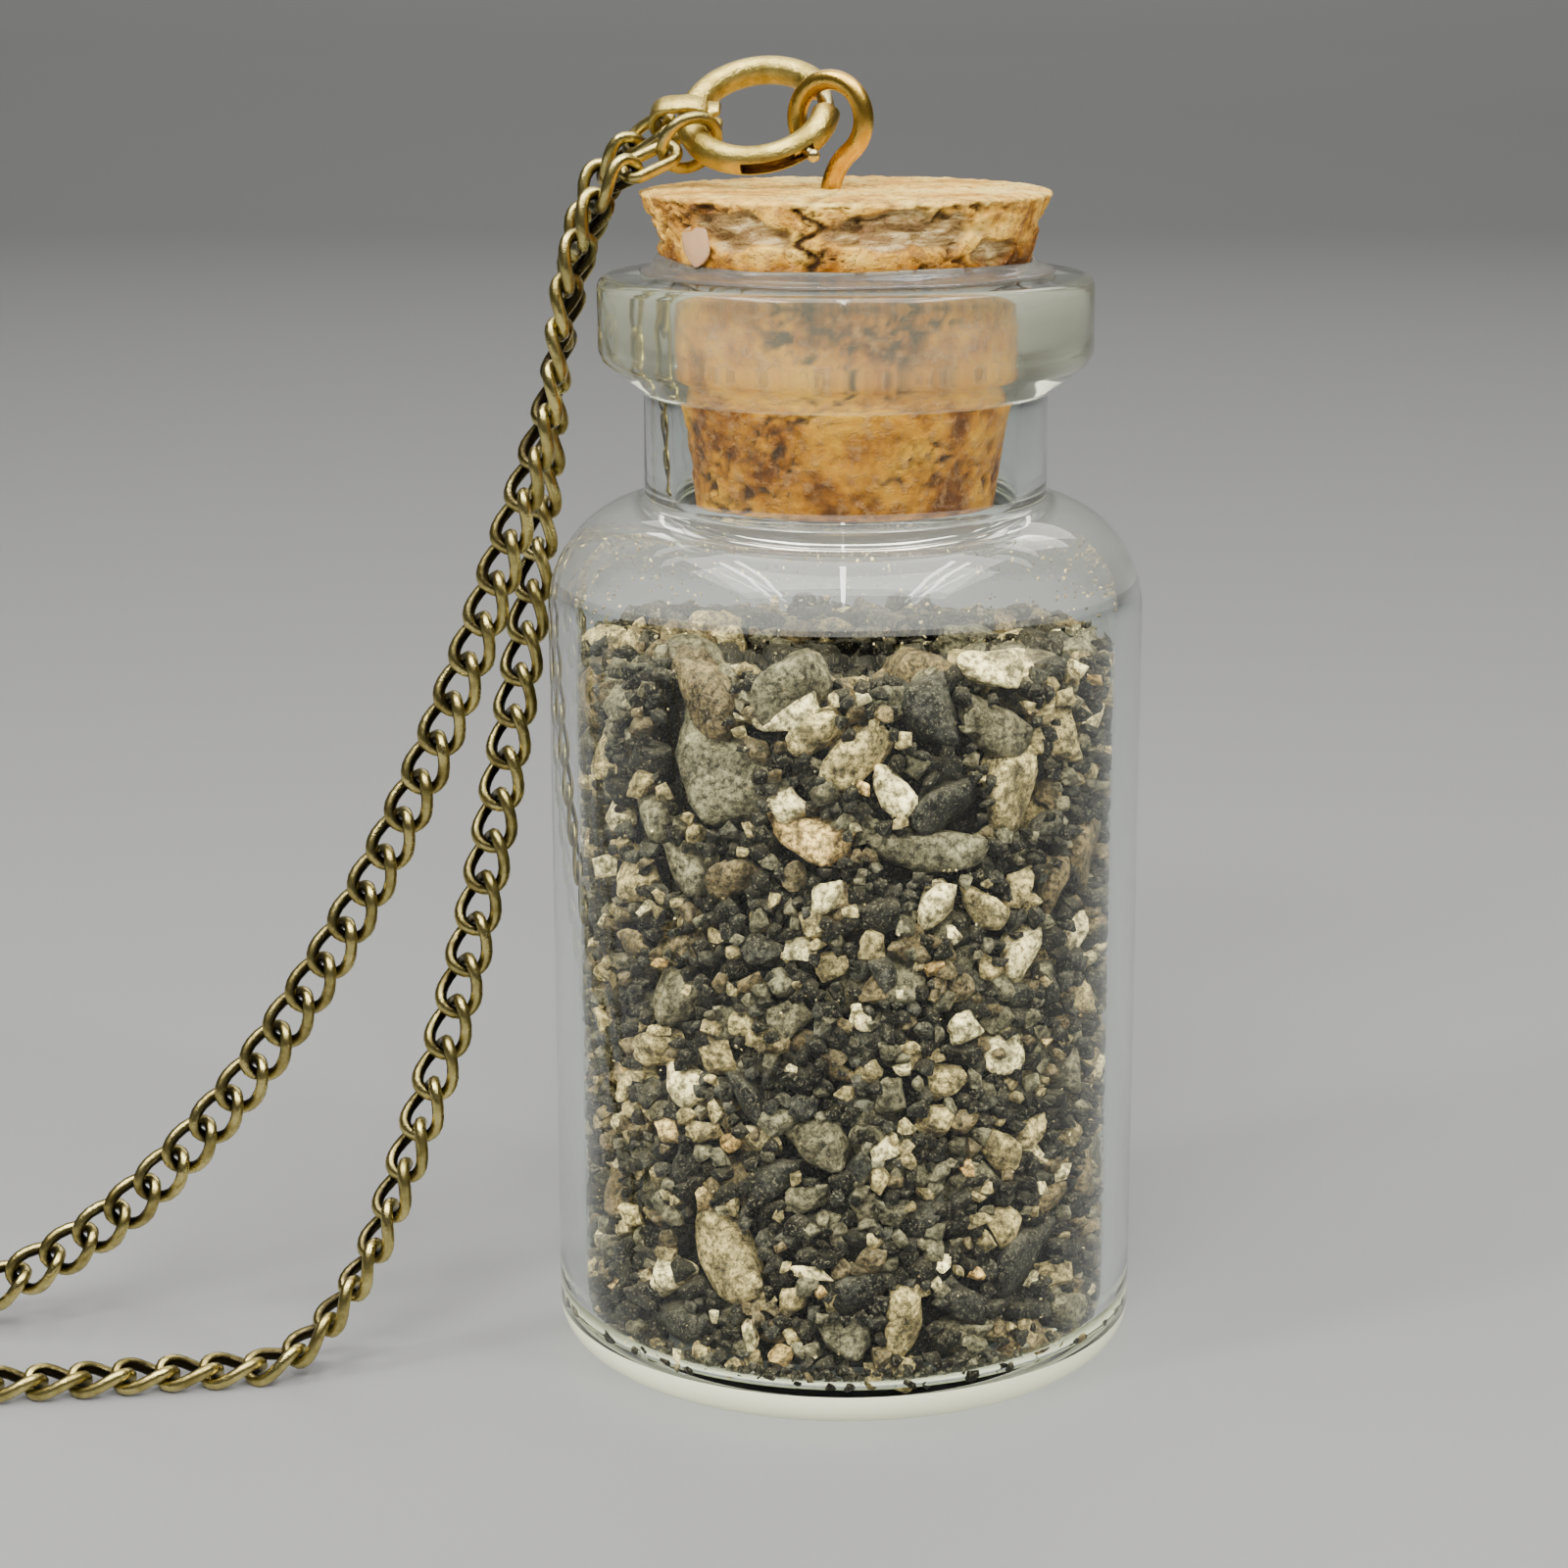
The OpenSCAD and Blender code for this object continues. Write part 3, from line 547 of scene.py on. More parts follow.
glinting = mix(tree, glints, flecked, (0.27, 0.235, 0.15, 1), "LIGHTEN")
dust = point_value(tree, "dust")
# Painted light and shade: upper faces lightened, undersides darkened.
shaded = times(tree, glinting, remap(tree, dust, -0.7, 0.7, 0.5, 1.3))
# Dust settled on the upper faces.
caught = maths(tree, "MULTIPLY_ADD", dust, 0.45, coarse["Clouds"])
powder = remap(tree, caught, 0.55, 0.95, 0.0, 0.22)
drive(shader, Base_Color=mix(tree, powder, shaded, (0.20, 0.165, 0.09, 1)),
      Roughness=remap(tree, fine["Clouds"], 0.35, 0.65, 0.38, 0.85),
      Normal=bump(tree, fine["Clouds"], 0.8, 0.25))

places, sizes, turns, tones = pack_stones()
reach = sizes.max(1)
first_full = stone_kinds - full_kinds
# name, splits, cuts between corners, rounds of wear, smallest and largest half size
for name, splits, cuts, worn, low, high in (
        ("stones_large", 9, 2, 3, 0.86, 9), ("stones_middle", 11, 1, 1, 0.5, 0.86),
        ("stones_small", 10, 0, 0, 0.3, 0.5), ("grit", 7, 0, 0, 0, 0.3)):
    shelf = bpy.data.collections.new(name + "_kinds")
    bpy.context.scene.collection.children.link(shelf)
    for k in range(stone_kinds):
        full = 3 if cuts > 1 and k >= first_full else 0
        stone = chipped_stone(f"{name}_{k}", 100 * splits + k, splits - full, cuts, worn + full, full)
        shelf.objects.link(stone)
    chosen = np.flatnonzero((reach >= low) & (reach < high))
    cloud = bpy.data.meshes.new(name)
    cloud.from_pydata([tuple(p) for p in places[chosen] * mm], [], [])
    mark_points(cloud, "size", sizes[chosen] * mm, "FLOAT_VECTOR")
    mark_points(cloud, "turn", turns[chosen], "FLOAT_VECTOR")
    mark_points(cloud, "tone", tones[chosen])
    picked = np.where(chosen < len(placed_stones), first_full + chosen % full_kinds, chosen * 5 % stone_kinds)
    mark_points(cloud, "kind", picked, "INT")
    stones = put_out(name, cloud)
    values = {stones_in: shelf, wall_in: (inner_r - at_wall) * mm, finish_in: stone_finish}
    settle_nodes(stones, gravel_tree, values, stone_finish)
    for kind in list(shelf.objects):
        bpy.data.objects.remove(kind)
    bpy.data.collections.remove(shelf)
    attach(stones, "pendant")
    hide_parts("pebbles")

# The imported middle of the gravel, which shows only between the stones. Its near-black tone is that of black
# grit and of painted shade deep in the gaps.
core_outline = (
    [(0, floor_t + 0.15), (core_r - 0.4, floor_t + 0.15), (core_r, floor_t + 0.6)]
    + [(core_r, z) for z in np.linspace(2.2, fill_z - 1.4, 100)]
    + [(r, heap_z(r) - 0.9) for r in np.linspace(core_r - 0.2, 0.2, 40)] + [(0, heap_z(0) - 0.9)])


def gritty(turn, radius, height):
    spot = Vector((math.cos(turn) * radius, math.sin(turn) * radius, height))
    return 0.28 * noise.noise(spot * 1.9) + 0.16 * noise.noise(spot * 4.1)


points, faces = turned_mesh(core_outline, 200, gritty)
core = new_piece("gravel_core", points, faces)
# Near-black: black grit, and painted shade between the stones.
mark_points(core.data, "tone", [0.03] * len(points))
core.data.materials.append(stone_finish)
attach(core, "pendant")
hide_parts("gravel")

# The cork: natural bark cork, turned to a taper and pressed into the neck, with pores, cracks and hollows
# that the cutter tore open, a paler granular top, and orange where the glue has soaked into its foot.
cork_low, cork_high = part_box("cork")[0].z / mm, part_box("cork")[1].z / mm
end_r, grip_r, grip_z, waist_r, waist_h, top_r = 5.46, 6.35, 38.05, 6.75, 0.65, 7.44
flank_h = cork_high - lip_top - waist_h - 0.1
cork_outline = (
    [(0, cork_low)] + [(r, cork_low) for r in np.linspace(0.5, 5.35, 12)]
    + [(end_r + 0.89 * t, cork_low + 0.15 + (grip_z - cork_low) * t) for t in np.linspace(0, 1, 46)]
    + [(grip_r, z) for z in np.linspace(38.4, lip_top - 0.05, 14)]
    + [(grip_r + 0.4 * t, lip_top + 0.6 * t) for t in np.linspace(0.1, 1, 6)]
    + [(waist_r + 0.69 * t, lip_top + waist_h + flank_h * t) for t in np.linspace(0, 1, 34)]
    + [(top_r - 0.06, cork_high - 0.03), (top_r - 0.18, cork_high)]
    + [(r, cork_high) for r in np.linspace(7.1, 0.15, 44)] + [(0, cork_high)])
# hollows that the cutter tore open in the cork's flank: turn and height of the middle, half width, half
# height
torn_hollows = [(-33, 42.45, 17, 0.75), (17, 42.5, 25, 0.7), (48, 41.6, 9, 0.5), (96, 42.3, 22, 0.6),
                (160, 41.9, 26, 0.7), (222, 42.5, 18, 0.6), (275, 42.0, 15, 0.7)]


def bark(spot, turn):
    """How deep pores and cracks go at a point of the cork, and how far it lies in a torn hollow, 0 to 1."""
    stir = [noise.noise(spot * 1.3 + Vector((31, 17, 5)) * axis) for axis in range(3)]
    stirred = spot + 0.45 * Vector(stir)
    cluster = smooth_step(-0.15, 0.3, noise.noise(spot * 0.36 + Vector((7, 2, 5))))
    pores = smooth_step(0.1, 0.42, noise.noise(Vector((stirred.x * 1.6, stirred.y * 1.6, stirred.z * 2.6))))
    crumbs = smooth_step(0.05, 0.5, noise.noise(stirred * 4.4))
    vein = noise.noise(Vector((stirred.x * 0.8, stirred.y * 0.8, stirred.z * 1.5)) + Vector((1, 6, 3)))
    crack = smooth_step(0.07, 0.0, abs(vein)) * cluster
    split = turn + 0.18 + 0.09 * noise.noise(Vector((0, 3, spot.z * 1.7)))
    long_crack = smooth_step(0.045, 0.01, abs(split)) * smooth_step(lip_top - 3, lip_top, spot.z)
    hollow = 0
    for middle, height, half_width, half_height in torn_hollows:
        across = ((math.degrees(turn) - middle + 180) % 360 - 180) / half_width
        away = math.hypot(across, (spot.z - height) / half_height) + 0.5 * noise.noise(spot * 1.2)
        hollow = max(hollow, smooth_step(1.05, 0.75, away))
    pit = (0.25 + 0.75 * cluster) * pores + 0.4 * crumbs * (0.3 + 0.7 * cluster) + 0.7 * crack + long_crack
    return min(pit * (1 - 0.5 * hollow), 1), hollow


points, faces = turned_mesh(cork_outline, 320)
shaped, felt = [], {"pit": [], "hollow": [], "top": [], "wet": []}
for x, y, z in points:
    radius, turn, spot = math.hypot(x, y), math.atan2(x, -y), Vector((x, y, z))
    pit, hollow = bark(spot, turn)
    on_top = smooth_step(cork_high - 0.35, cork_high - 0.1, z + 0.12 * noise.noise(spot * 3))
    face = smooth_step(cork_high - 0.02, cork_high, z) * smooth_step(7.3, 6.8, radius)
    above = smooth_step(lip_top - 0.1, lip_top + 0.5, z)
    lumps = 0.09 * noise.noise(spot * 1.1) + 0.05 * noise.noise(spot * 3.1) + 0.03 * noise.noise(spot * 7.3)
    rim = (0.1 * noise.noise(spot * 2.3) * smooth_step(cork_high - 0.6, cork_high, z)
           * smooth_step(6.6, 7.3, radius))
    sunk = pit * (0.15 + 0.13 * above) * (1 - 0.6 * on_top) + 0.3 * hollow * above * (1 - on_top)
    inward = (sunk - (lumps if above else min(lumps, 0)) - rim) * (1 - face) * smooth_step(0, 3, radius)
    grown = max(radius - inward, 0) / max(radius, 1e-6)
    socket = 0.25 * smooth_step(0.85, 0.4, math.hypot(x + 0.57, y)) * face
    crumbs = 0.05 * noise.noise(spot * 2.7) + 0.03 * noise.noise(spot * 8.1)
    drop = (pit * 0.1 + crumbs + 0.02) * face + socket
    low = 0.06 * pit * smooth_step(cork_low + 0.1, cork_low, z)
    shaped.append((x * grown, y * grown, z - drop + low - 0.08 * on_top * (1 - face)))
    felt["pit"].append(pit * (1 - 0.55 * on_top))
    felt["hollow"].append(hollow * (1 - on_top))
    felt["top"].append(on_top)
    felt["wet"].append(smooth_step(lip_top + 1.5, lip_top + 0.4, z + 0.5 * noise.noise(spot * 0.9)))
cork = new_piece("bark_cork", shaped, faces)
for label, values in felt.items():
    mark_points(cork.data, label, values)
cork_finish, tree, shader = new_material("bark_cork", Specular_IOR_Level=0.25)
bark_grain = grained(tree, 420.0, 0.5)
pit, hollow, on_top, wet = (point_value(tree, label) for label in felt)
stretched = add_node(tree, "ShaderNodeMapping", {
    "Vector": add_node(tree, "ShaderNodeTexCoord").outputs["Object"], "Scale": (700.0, 700.0, 2600.0)})
fibres = add_node(tree, "ShaderNodeTexNoise", {
    "Vector": stretched.outputs[0], "Scale": 1.0, "Detail": 4.0, "Roughness": 0.6, "Distortion": 0.6})
bare = ramp(tree, bark_grain["Clouds"], [(0.38, (0.17, 0.066, 0.010)), (0.45, (0.44, 0.205, 0.030)),
                                         (0.53, (0.74, 0.405, 0.062)), (0.64, (0.95, 0.62, 0.13))])
streaked = ramp(tree, fibres.outputs[0], [(0.38, (0.10, 0.055, 0.017)), (0.5, (0.31, 0.20, 0.072)),
                                          (0.62, (0.64, 0.49, 0.24))])
pale = ramp(tree, bark_grain["Clouds"], [(0.36, (0.60, 0.30, 0.045)), (0.5, (0.94, 0.58, 0.115)),
                                         (0.64, (1.0, 0.77, 0.24))])
topped = mix(tree, on_top, mix(tree, hollow, bare, streaked), pale)
soaked = mix(tree, wet, topped, times(tree, topped, (0.53, 0.40, 0.155, 1)))
flecked = mix(tree, bark_grain["Fleck"], soaked, (0.30, 0.16, 0.07, 1))
crumbly = bump(tree, bark_grain["Fleck"], 0.7, 0.12)
# Pores, crumbs and cracks darken towards black with their depth: partly the cork's own dark pores, partly
# painted shade in them.
drive(shader, Base_Color=mix(tree, pit, flecked, (0.045, 0.022, 0.010, 1)),
      Roughness=remap(tree, wet, 0.0, 1.0, 0.82, 0.42),
      Normal=bump(tree, bark_grain["Clouds"], 0.8, 0.35, Normal=crumbly))
cork.data.materials.append(cork_finish)
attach(cork, "pendant")
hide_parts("cork")

# The glue: a clear bead run round the foot of the cork on the lip, uneven in width, with one cloudy drop
# that has set on the cork's flank.
glue_foot, glue_turns = lip_top + 0.06, 176
points = []
for k in range(glue_turns):
    turn = 2 * math.pi * k / glue_turns
    way = Vector((math.cos(turn), math.sin(turn), 0))
    spread = 7.6 + 0.3 * noise.noise(way * 2.3) + 0.1 * noise.noise(way * 7)
    climb = lip_top + 0.62 + 0.3 * noise.noise(way * 1.7 + Vector((5, 0, 0)))
    hold = waist_r + 0.27 * (climb - lip_top - 0.6)
    section = ((6.44, glue_foot), (spread - 0.12, glue_foot), (spread, glue_foot + 0.06),
               (spread - 0.16, glue_foot + 0.16), (hold * 0.55 + spread * 0.45, glue_foot + 0.23),
               (hold + 0.22, climb - 0.22), (hold + 0.08, climb), (hold - 0.02, climb - 0.05))
    points += [(r * way.x, r * way.y, z) for r, z in section]


def tube_faces(rings, around, closed):
    """Faces of a tube whose points come ring by ring."""
    faces = []
    for k in range(rings if closed else rings - 1):
        here, there = k * around, (k + 1) % rings * around
        for j in range(around):
            n = (j + 1) % around
            faces.append((here + j, here + n, there + n, there + j))
    return faces


faces = [(a, d, c, b) for a, b, c, d in tube_faces(glue_turns, len(section), True)]
glue = new_piece("glue_run", points, faces)
drop_place = Matrix.Rotation(math.radians(-48.2), 4, "Z") @ Matrix.Translation((0, -6.98, lip_top + 1.32))
bm = bmesh.new()
bmesh.ops.create_icosphere(bm, subdivisions=4, radius=1)
for vert in bm.verts:
    way = vert.co.copy()
    swell = 1 + 0.22 * noise.noise(way * 1.4)
    swollen = Vector((way.x * 0.78 * swell, way.y * 0.17, way.z * 0.68 * swell + 0.14 * abs(way.x)))
    vert.co = drop_place @ swollen * mm
drop_mesh = bpy.data.meshes.new("glue_drop")
bm.to_mesh(drop_mesh)
bm.free()
drop_mesh.polygons.foreach_set("use_smooth", [True] * len(drop_mesh.polygons))
drop = put_out("glue_drop", drop_mesh)
for piece, colour, clear, rough in ((glue, (0.90, 0.87, 0.80, 1), 0.92, 0.06),
                                    (drop, (0.95, 0.60, 0.34, 1), 0.55, 0.12)):
    set_glue, tree, shader = new_material("set_" + piece.name, Base_Color=colour, IOR=1.46,
                                          Transmission_Weight=clear)
    uneven = grained(tree, 700.0, 0.3)["Clouds"]
    drive(shader, Roughness=remap(tree, uneven, 0.3, 0.7, rough, rough + 0.16),
          Normal=bump(tree, uneven, 0.5, 0.1))
    piece.data.materials.append(set_glue)
    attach(piece, "pendant")
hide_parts("glue_bead")


# The screw eye: a bent brass wire, bright yellow, with a fine grit and a little tarnish. Its shape
# comes from the CAD, like that of the clasp's ring and bolt.
def old_metal(name, bright, dull, smoothness, grit, grit_size, rubbed=False):
    """Metal with tarnish in clouds, fine grit, and dark recesses where its pieces carry a rub attribute."""
    material, tree, shader = new_material(name, Metallic=1.0)
    stain = grained(tree, 900.0, 0.6)["Clouds"]
    colour = mix(tree, remap(tree, stain, 0.34, 0.62), dull, bright)
    if rubbed:
        uneven = maths(tree, "MULTIPLY_ADD", stain, 0.5, point_value(tree, "rub"))
        colour = mix(tree, remap(tree, uneven, 0.42, 0.85), (0.030, 0.024, 0.012, 1), colour)
        colour = mix(tree, point_value(tree, "seam"), colour, (0.10, 0.09, 0.07, 1))
    sand = add_node(tree, "ShaderNodeTexNoise", {
        "Vector": add_node(tree, "ShaderNodeTexCoord").outputs["Object"], "Scale": grit_size, "Detail": 3.0,
        "Roughness": 0.6})
    drive(shader, Base_Color=colour, Normal=bump(tree, sand.outputs[0], grit, 0.04),
          Roughness=remap(tree, stain, 0.3, 0.7, smoothness + 0.12, smoothness - 0.06))
    return material


def dress(finish, *names):
    """Gives pieces that keep their CAD shape a finish."""
    for name in names:
        for slot in nodes[name].material_slots:
            slot.material = finish


gold_brass = old_metal("gold_brass", (0.82, 0.54, 0.11, 1), (0.50, 0.30, 0.05, 1), 0.26, 0.35, 5000)
dress(gold_brass, "eye_screw")

# The clasp: a spring ring of brass tube with a cast-looking matt grain, its bolt of round wire with the
# small lever that pulls it back, both shaped in the CAD.
antique_brass = old_metal("antique_brass", (0.68, 0.54, 0.16, 1), (0.33, 0.24, 0.05, 1), 0.36, 0.9, 9000)
bolt_brass = old_metal("bolt_brass", (0.70, 0.60, 0.28, 1), (0.42, 0.33, 0.12, 1), 0.30, 0.4, 7000)
dress(antique_brass, "clasp_ring")
dress(bolt_brass, "clasp_bolt")


# The tab: a narrow strip of brass folded round the ring's tube, with its two ends pinched together inside
# the ring and the chain's end link caught in its fold.
def face_outwards(piece):
    bm = bmesh.new()
    bm.from_mesh(piece.data)
    bmesh.ops.recalc_face_normals(bm, faces=bm.faces)
    bm.to_mesh(piece.data)
    bm.free()


tube_r, ring_r, tab_t, tab_w, tab_play, tab_eye = 0.52, 2.48, 0.26, 0.8, 0.03, 0.75
hug_r = tube_r + tab_play + tab_w ** 2 / (8 * (ring_r - tube_r))
fold_x, strip_r, prong_h = tube_r + tab_eye - hug_r, hug_r + tab_t / 2, 0.36
clasp_centre = Vector((-3.16729, 0.64758, 46.14092))
on_ring = (Matrix.Translation(clasp_centre) @ Matrix.Rotation(math.radians(-12), 4, "Z")
           @ Matrix.Rotation(math.radians(38), 4, "X") @ Matrix.Rotation(math.radians(186), 4, "Z")
           @ Matrix.Translation((ring_r, 0, 0)))
pinch = math.degrees(math.asin(prong_h / strip_r))
strip = ([(-1.12, prong_h + 0.06), (-0.95, prong_h + 0.01), (-0.8, prong_h)]
         + arc((0, 0), strip_r, 180 - pinch, 90, 10) + [(fold_x / 2, strip_r)]
         + arc((fold_x, 0), strip_r, 90, -90, 18) + [(fold_x / 2, -strip_r)]
         + arc((0, 0), strip_r, -90, -180 + pinch, 10)
         + [(-0.8, -prong_h), (-0.95, -prong_h - 0.02), (-1.06, -prong_h - 0.08)])
edge = [(0.5, -0.3), (0.5, 0.3), (0.44, 0.5), (-0.44, 0.5),
        (-0.5, 0.3), (-0.5, -0.3), (-0.44, -0.5), (0.44, -0.5)]
points = []
for k, (x, z) in enumerate(strip):
    before, after = strip[max(k - 1, 0)], strip[min(k + 1, len(strip) - 1)]
    along = Vector((after[0] - before[0], after[1] - before[1])).normalized()
    end = min(k, len(strip) - 1 - k, 3)
    wide = tab_w * (0.72, 0.8, 0.92, 1)[end]
    thick = tab_t * (0.7, 0.95, 1, 1)[end]
    for w, h in edge:
        side = Vector((-along.y, along.x)) * h * thick
        uneven = 1 + 0.04 * noise.noise(Vector((x, z, w)) * 2)
        points.append(on_ring @ Vector((x + side.x, w * wide * uneven, z + side.y)))
sides = len(edge)
faces = tube_faces(len(strip), sides, False)
faces += [tuple(range(sides))[::-1], tuple((len(strip) - 1) * sides + j for j in range(sides))]
tab = new_piece("folded_tab", points, faces)
face_outwards(tab)
tab.data.materials.append(antique_brass)
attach(tab, "pendant")
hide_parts("clasp_tab")

# The end links and end ring: plain wire links of the chain's own bronze, shaped in the CAD.
end_bronze = old_metal("end_bronze", (0.64, 0.53, 0.20, 1), (0.27, 0.21, 0.06, 1), 0.29, 0.5, 7000)
dress(end_bronze, "end_ring", "end_link_tab", "end_link_ring")

# The chain: twisted curb links of bronze wire with an antique finish, dark inside and rubbed bright
# outside. It hangs from the end ring, lies in one loop on the surface and climbs back to the tab.
link_half_l, link_half_w, link_wire, link_twist, pitch = 1.065, 0.73, 0.47, math.radians(42), 1.6
link_sides, link_steps, route_steps, squareness = 8, 26, 12, 2.4
# x, y, height of the underside, and the turn of the flat side: 0 faces the front, 90 faces left and up. The
# two links at each end hang in the end links, so theirs are given as directions.
chain_route = [
    (-8.37, -0.61, 42.94, 0), (-9.25, -0.70, 41.62, 0), (-9.85, -0.84, 40.15, 112), (-10.3, -0.9, 38.3, 98),
    (-10.9, -1.1, 34.8, 72), (-12.1, -1.4, 30.8, 46), (-13.9, -1.7, 25.6, 33), (-16.4, -1.9, 19.8, 28),
    (-19.6, -2.1, 14, 25), (-23.6, -2.3, 8.4, 18), (-28.6, -2.4, 3.6, 20), (-35, -1.8, 0.5, 50),
    (-43, 0.6, 0, 90), (-52.5, 7, 0, 90), (-63.5, 18, 0, 90), (-77, 30.5, 0, 90), (-94, 41.5, 0, 90),
    (-114, 46, 0, 90), (-134, 42, 0, 90), (-149.5, 29.5, 0, 90), (-158, 12, 0, 90), (-158.5, -8, 0, 90),
    (-151, -26.5, 0, 90), (-137, -40.5, 0, 90), (-118, -48, 0, 90), (-97, -47, 0, 90), (-78, -37.5, 0, 90),
    (-62, -24.5, 0, 90), (-48, -14, 0, 90), (-35, -9.2, 0, 90), (-27, -7.6, 0, 90), (-21.2, -6.4, 0.2, 88),
    (-18.3, -5.3, 2.8, 80), (-16.5, -4.1, 6.8, 55), (-14.9, -2.4, 11.6, 30), (-13.7, -0.5, 16.6, 30),
    (-12.8, 1.2, 21.6, 35), (-12, 2.3, 26.6, 45), (-11.3, 2.8, 31.6, 62), (-10.7, 2.9, 36, 85),
    (-10.2, 2.85, 39, 110), (-9.76, 2.73, 40.95, 128), (-9.15, 2.61, 42.5, 0), (-8.36, 2.24, 43.75, 0),
]
last = len(chain_route) - 1
end_ways = {0: (-0.677, 0.041, -0.735), 1: (-0.378, -0.091, -0.921),
            last - 1: (0.372, -0.064, 0.926), last: (0.596, -0.476, 0.647)}
end_flats = {0: (-0.717, 0.19, 0.671), 1: (-0.878, 0.35, 0.326),
             last - 1: (-0.657, 0.686, 0.311), last: (-0.633, 0.217, 0.743)}
marks = [Vector((x, y, z + 0.8)) for x, y, z, turn in chain_route]
ways, flats = [], []
for k, (x, y, z, turn) in enumerate(chain_route):
    way = Vector(end_ways[k]) if k in end_ways else (marks[k + 1] - marks[k - 1]).normalized()
    aside = Vector((0, 1, 0)).cross(way if way.z < 0 else -way)
    flat = Vector((0, -math.cos(math.radians(turn)), 0)) + aside.normalized() * math.sin(math.radians(turn))
    if k in end_flats:
        flat = Vector(end_flats[k])
    elif z < 0.3:
        flat = Vector((0, 0, 1))
    flat = (flat - way * flat.dot(way)).normalized()
    if k not in end_flats:
        marks[k].z -= 0.27 * abs(flat.z)
    ways.append(way)
    flats.append(flat)
path, path_ways, path_flats = [], [], []
for k in range(last):
    a, b, c, d = marks[max(k - 1, 0)], marks[k], marks[k + 1], marks[min(k + 2, last)]
    bend, swing = a - 2.5 * b + 2 * c - d / 2, 1.5 * b - a / 2 - 1.5 * c + d / 2
    for t in [step / route_steps for step in range(route_steps)]:
        spot = b + t * (c - a) / 2 + t * t * bend + t ** 3 * swing
        slope = (c - a) / 2 + 2 * t * bend + 3 * t * t * swing
        flat = flats[k].lerp(flats[k + 1], t)
        path.append((spot.x, spot.y, max(spot.z, 0.58 + 0.6 * (1 - abs(flat.normalized().z)))))
        path_ways.append(ways[k].lerp(ways[k + 1], t) if k < 2 or k > last - 3 else slope.normalized())
        path_flats.append(flat)
path = np.array(path + [tuple(marks[last])])
path_ways.append(ways[last])
path_flats.append(flats[last])
link_count = round(np.sum(np.linalg.norm(np.diff(path, axis=0), axis=1)) / pitch) + 1

# One link: an oval of round wire, twisted so that its two ends stand across each other.
turns = np.linspace(0, 2 * np.pi, link_steps, endpoint=False)
oval_x = link_half_l * np.sign(np.cos(turns)) * np.abs(np.cos(turns)) ** (2 / squareness)
oval_y = link_half_w * np.sign(np.sin(turns)) * np.abs(np.sin(turns)) ** (2 / squareness)
twist = -link_twist * oval_x / link_half_l
middle = np.column_stack([oval_x, oval_y * np.cos(twist), oval_y * np.sin(twist)])
points, rub, seam = [], [], []
for k in range(link_steps):
    along = Vector(middle[(k + 1) % link_steps] - middle[k - 1]).normalized()
    outward = Vector((oval_x[k] * 0.6, *middle[k][1:]))
    outward = (outward - along * outward.dot(along)).normalized()
    across = along.cross(outward)
    for j in range(link_sides):
        round_wire = 2 * math.pi * (j + 0.5) / link_sides
        off = outward * math.cos(round_wire) + across * math.sin(round_wire)
        points.append(Vector(middle[k]) + off * link_wire / 2)
        rub.append(0.5 + 0.5 * math.cos(round_wire))
        seam.append(1.0 if k == 2 else 0.0)
link = new_piece("curb_link", points, tube_faces(link_steps, link_sides, True))
mark_points(link.data, "rub", rub)
mark_points(link.data, "seam", seam)
face_outwards(link)

chain_tree, given, (link_in, count_in, finish_in) = geometry_tree(
    "linked_chain", ("Link", "NodeSocketObject"), ("Links", "NodeSocketInt", 280),
    ("Link finish", "NodeSocketMaterial"))
route = add_node(chain_tree, "GeometryNodeMeshToCurve", {"Mesh": given["Geometry"]})
spaced = add_node(chain_tree, "GeometryNodeResampleCurve", {
    "Curve": route.outputs[0], "Count": given["Links"]})
hung = add_node(chain_tree, "FunctionNodeAxesToRotation", {
    "Primary Axis": named(chain_tree, "way"),
    "Secondary Axis": named(chain_tree, "flat")}, primary_axis="X", secondary_axis="Z")
one_link = add_node(chain_tree, "GeometryNodeObjectInfo", {"Object": given["Link"]})
strung = add_node(chain_tree, "GeometryNodeInstanceOnPoints", {
    "Points": spaced.outputs[0], "Instance": one_link.outputs["Geometry"], "Rotation": hung.outputs[0]})
real = add_node(chain_tree, "GeometryNodeRealizeInstances", {0: strung.outputs[0]})
finish_tree(chain_tree, real.outputs[0], given["Link finish"])
thread = bpy.data.meshes.new("curb_chain")
thread.from_pydata([tuple(p) for p in path * mm], [(k, k + 1) for k in range(len(path) - 1)], [])
mark_points(thread, "way", path_ways, "FLOAT_VECTOR")
mark_points(thread, "flat", path_flats, "FLOAT_VECTOR")
chain = put_out("curb_chain", thread)
bronze = old_metal("antique_bronze", (0.65, 0.55, 0.21, 1), (0.24, 0.19, 0.055, 1), 0.28, 0.35, 7000,
                   rubbed=True)
settle_nodes(chain, chain_tree, {link_in: link, count_in: link_count, finish_in: bronze}, bronze)
bpy.data.objects.remove(link)
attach(chain, "pendant")
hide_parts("chain")

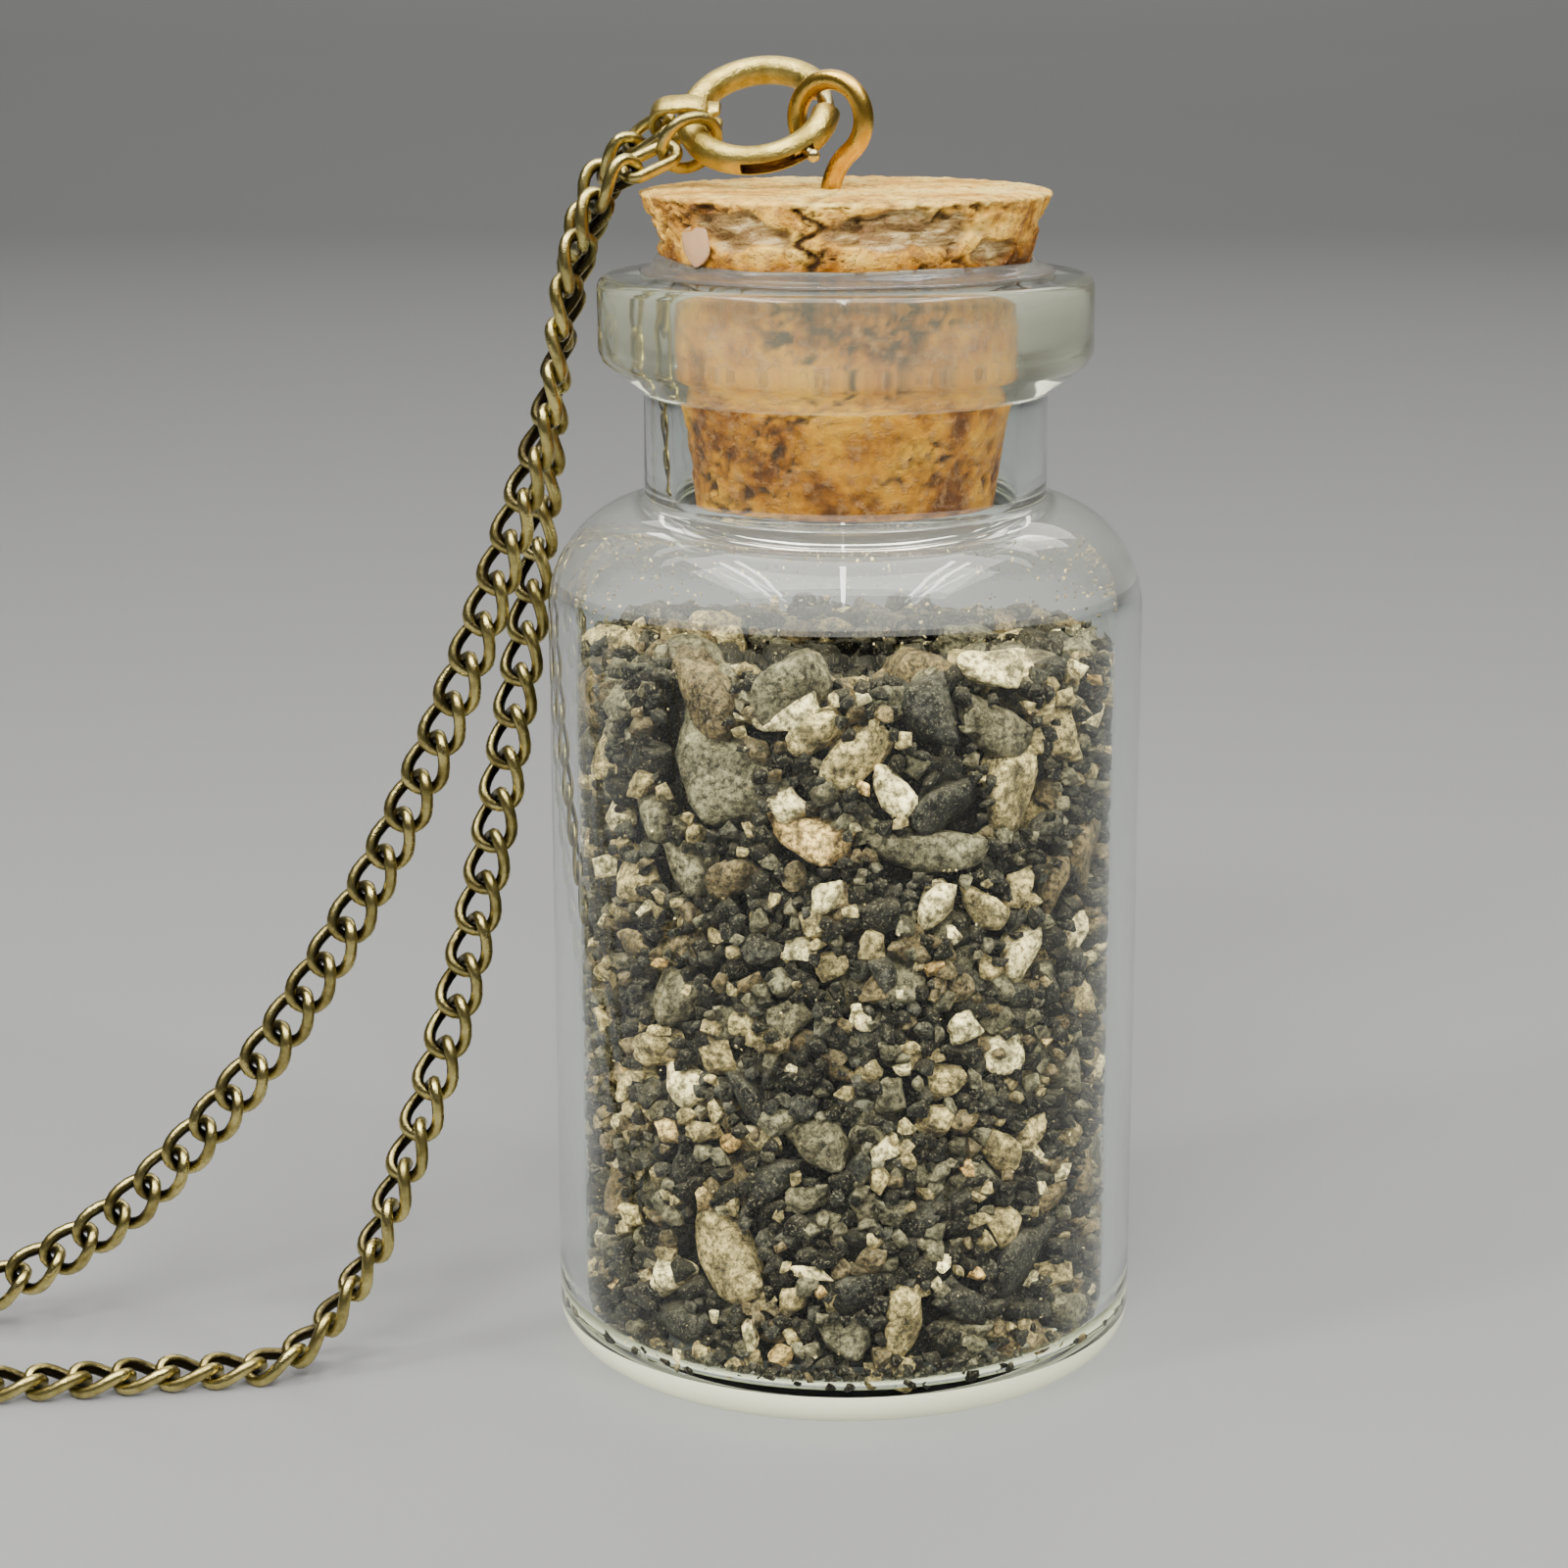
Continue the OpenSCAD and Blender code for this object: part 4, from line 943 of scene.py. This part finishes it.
# The studio: a pale table top that runs up into a pale backdrop, with a wide soft lamp above, soft lamps
# round it and thin lamp tubes overhead. The soft fill lamps stay out of reflections.
table_side, table_run = 1400, ((-500, 0), (550, 0), (700, 30), (800, 120), (840, 1200))
table_points = [(side, y, z) for y, z in table_run for side in (-table_side, table_side)]
table_faces = [(2 * k, 2 * k + 1, 2 * k + 3, 2 * k + 2) for k in range(len(table_run) - 1)]
table = new_piece("table", table_points, table_faces)
pale, tree, shader = new_material("pale_table", Base_Color=(0.262, 0.267, 0.274, 1), Roughness=0.6)
table.data.materials.append(pale)
world = bpy.data.worlds.new("studio")
bpy.context.scene.world = world
world.use_nodes = True
world.node_tree.nodes["Background"].inputs["Color"].default_value = (0.63, 0.64, 0.65, 1)
world.node_tree.nodes["Background"].inputs["Strength"].default_value = 0.10


def soft_lamp(name, place, target, width, height, power):
    lamp = bpy.data.lights.new(name, "AREA")
    lamp.shape = "RECTANGLE"
    lamp.size, lamp.size_y, lamp.energy = width, height, power
    lamp.color = (1.0, 0.975, 0.93)
    holder = put_out(name, lamp)
    aimed = (Vector(target) - Vector(place)).to_track_quat("-Z", "Y").to_matrix().to_4x4()
    holder.matrix_world = Matrix.Translation(Vector(place)) @ aimed
    return holder


sheen = soft_lamp("lamp_sheen", (0, -0.05, 0.45), (0, -0.05, 0), 0.6, 0.36, 4.4)
sheen.visible_diffuse = False
for name, place, width, height, power in (("lamp_fill", (-0.04, -0.31, 0.26), 0.26, 0.06, 2.3),
                                          ("lamp_left", (-0.36, -0.22, 0.13), 0.06, 0.24, 1.9),
                                          ("lamp_right", (0.36, -0.22, 0.11), 0.05, 0.22, 1.4)):
    fill = soft_lamp(name, place, (0, 0, 0.02), width, height, power)
    fill.visible_glossy = fill.visible_transmission = False
soft_lamp("lamp_back", (0.05, 0.40, 0.34), (0, 0, 0.03), 0.44, 0.16, 0.6)
tube_z, tube_w = 0.35, 0.009
for k, (x, y, length, power) in enumerate((
        (0, -0.17, 0.3, 0.4), (-0.14, -0.09, 0.27, 0.25), (-0.17, -0.09, 0.27, 0.25),
        (0.14, -0.09, 0.27, 0.25), (0.17, -0.09, 0.27, 0.25))):
    soft_lamp(f"lamp_tube_{k}", (x, y, tube_z), (x, y, 0), tube_w, length, power)
soft_lamp("lamp_backdrop", (0, 0.45, 0.75), (0, 0.84, 0.25), 1.2, 0.2, 2.6)
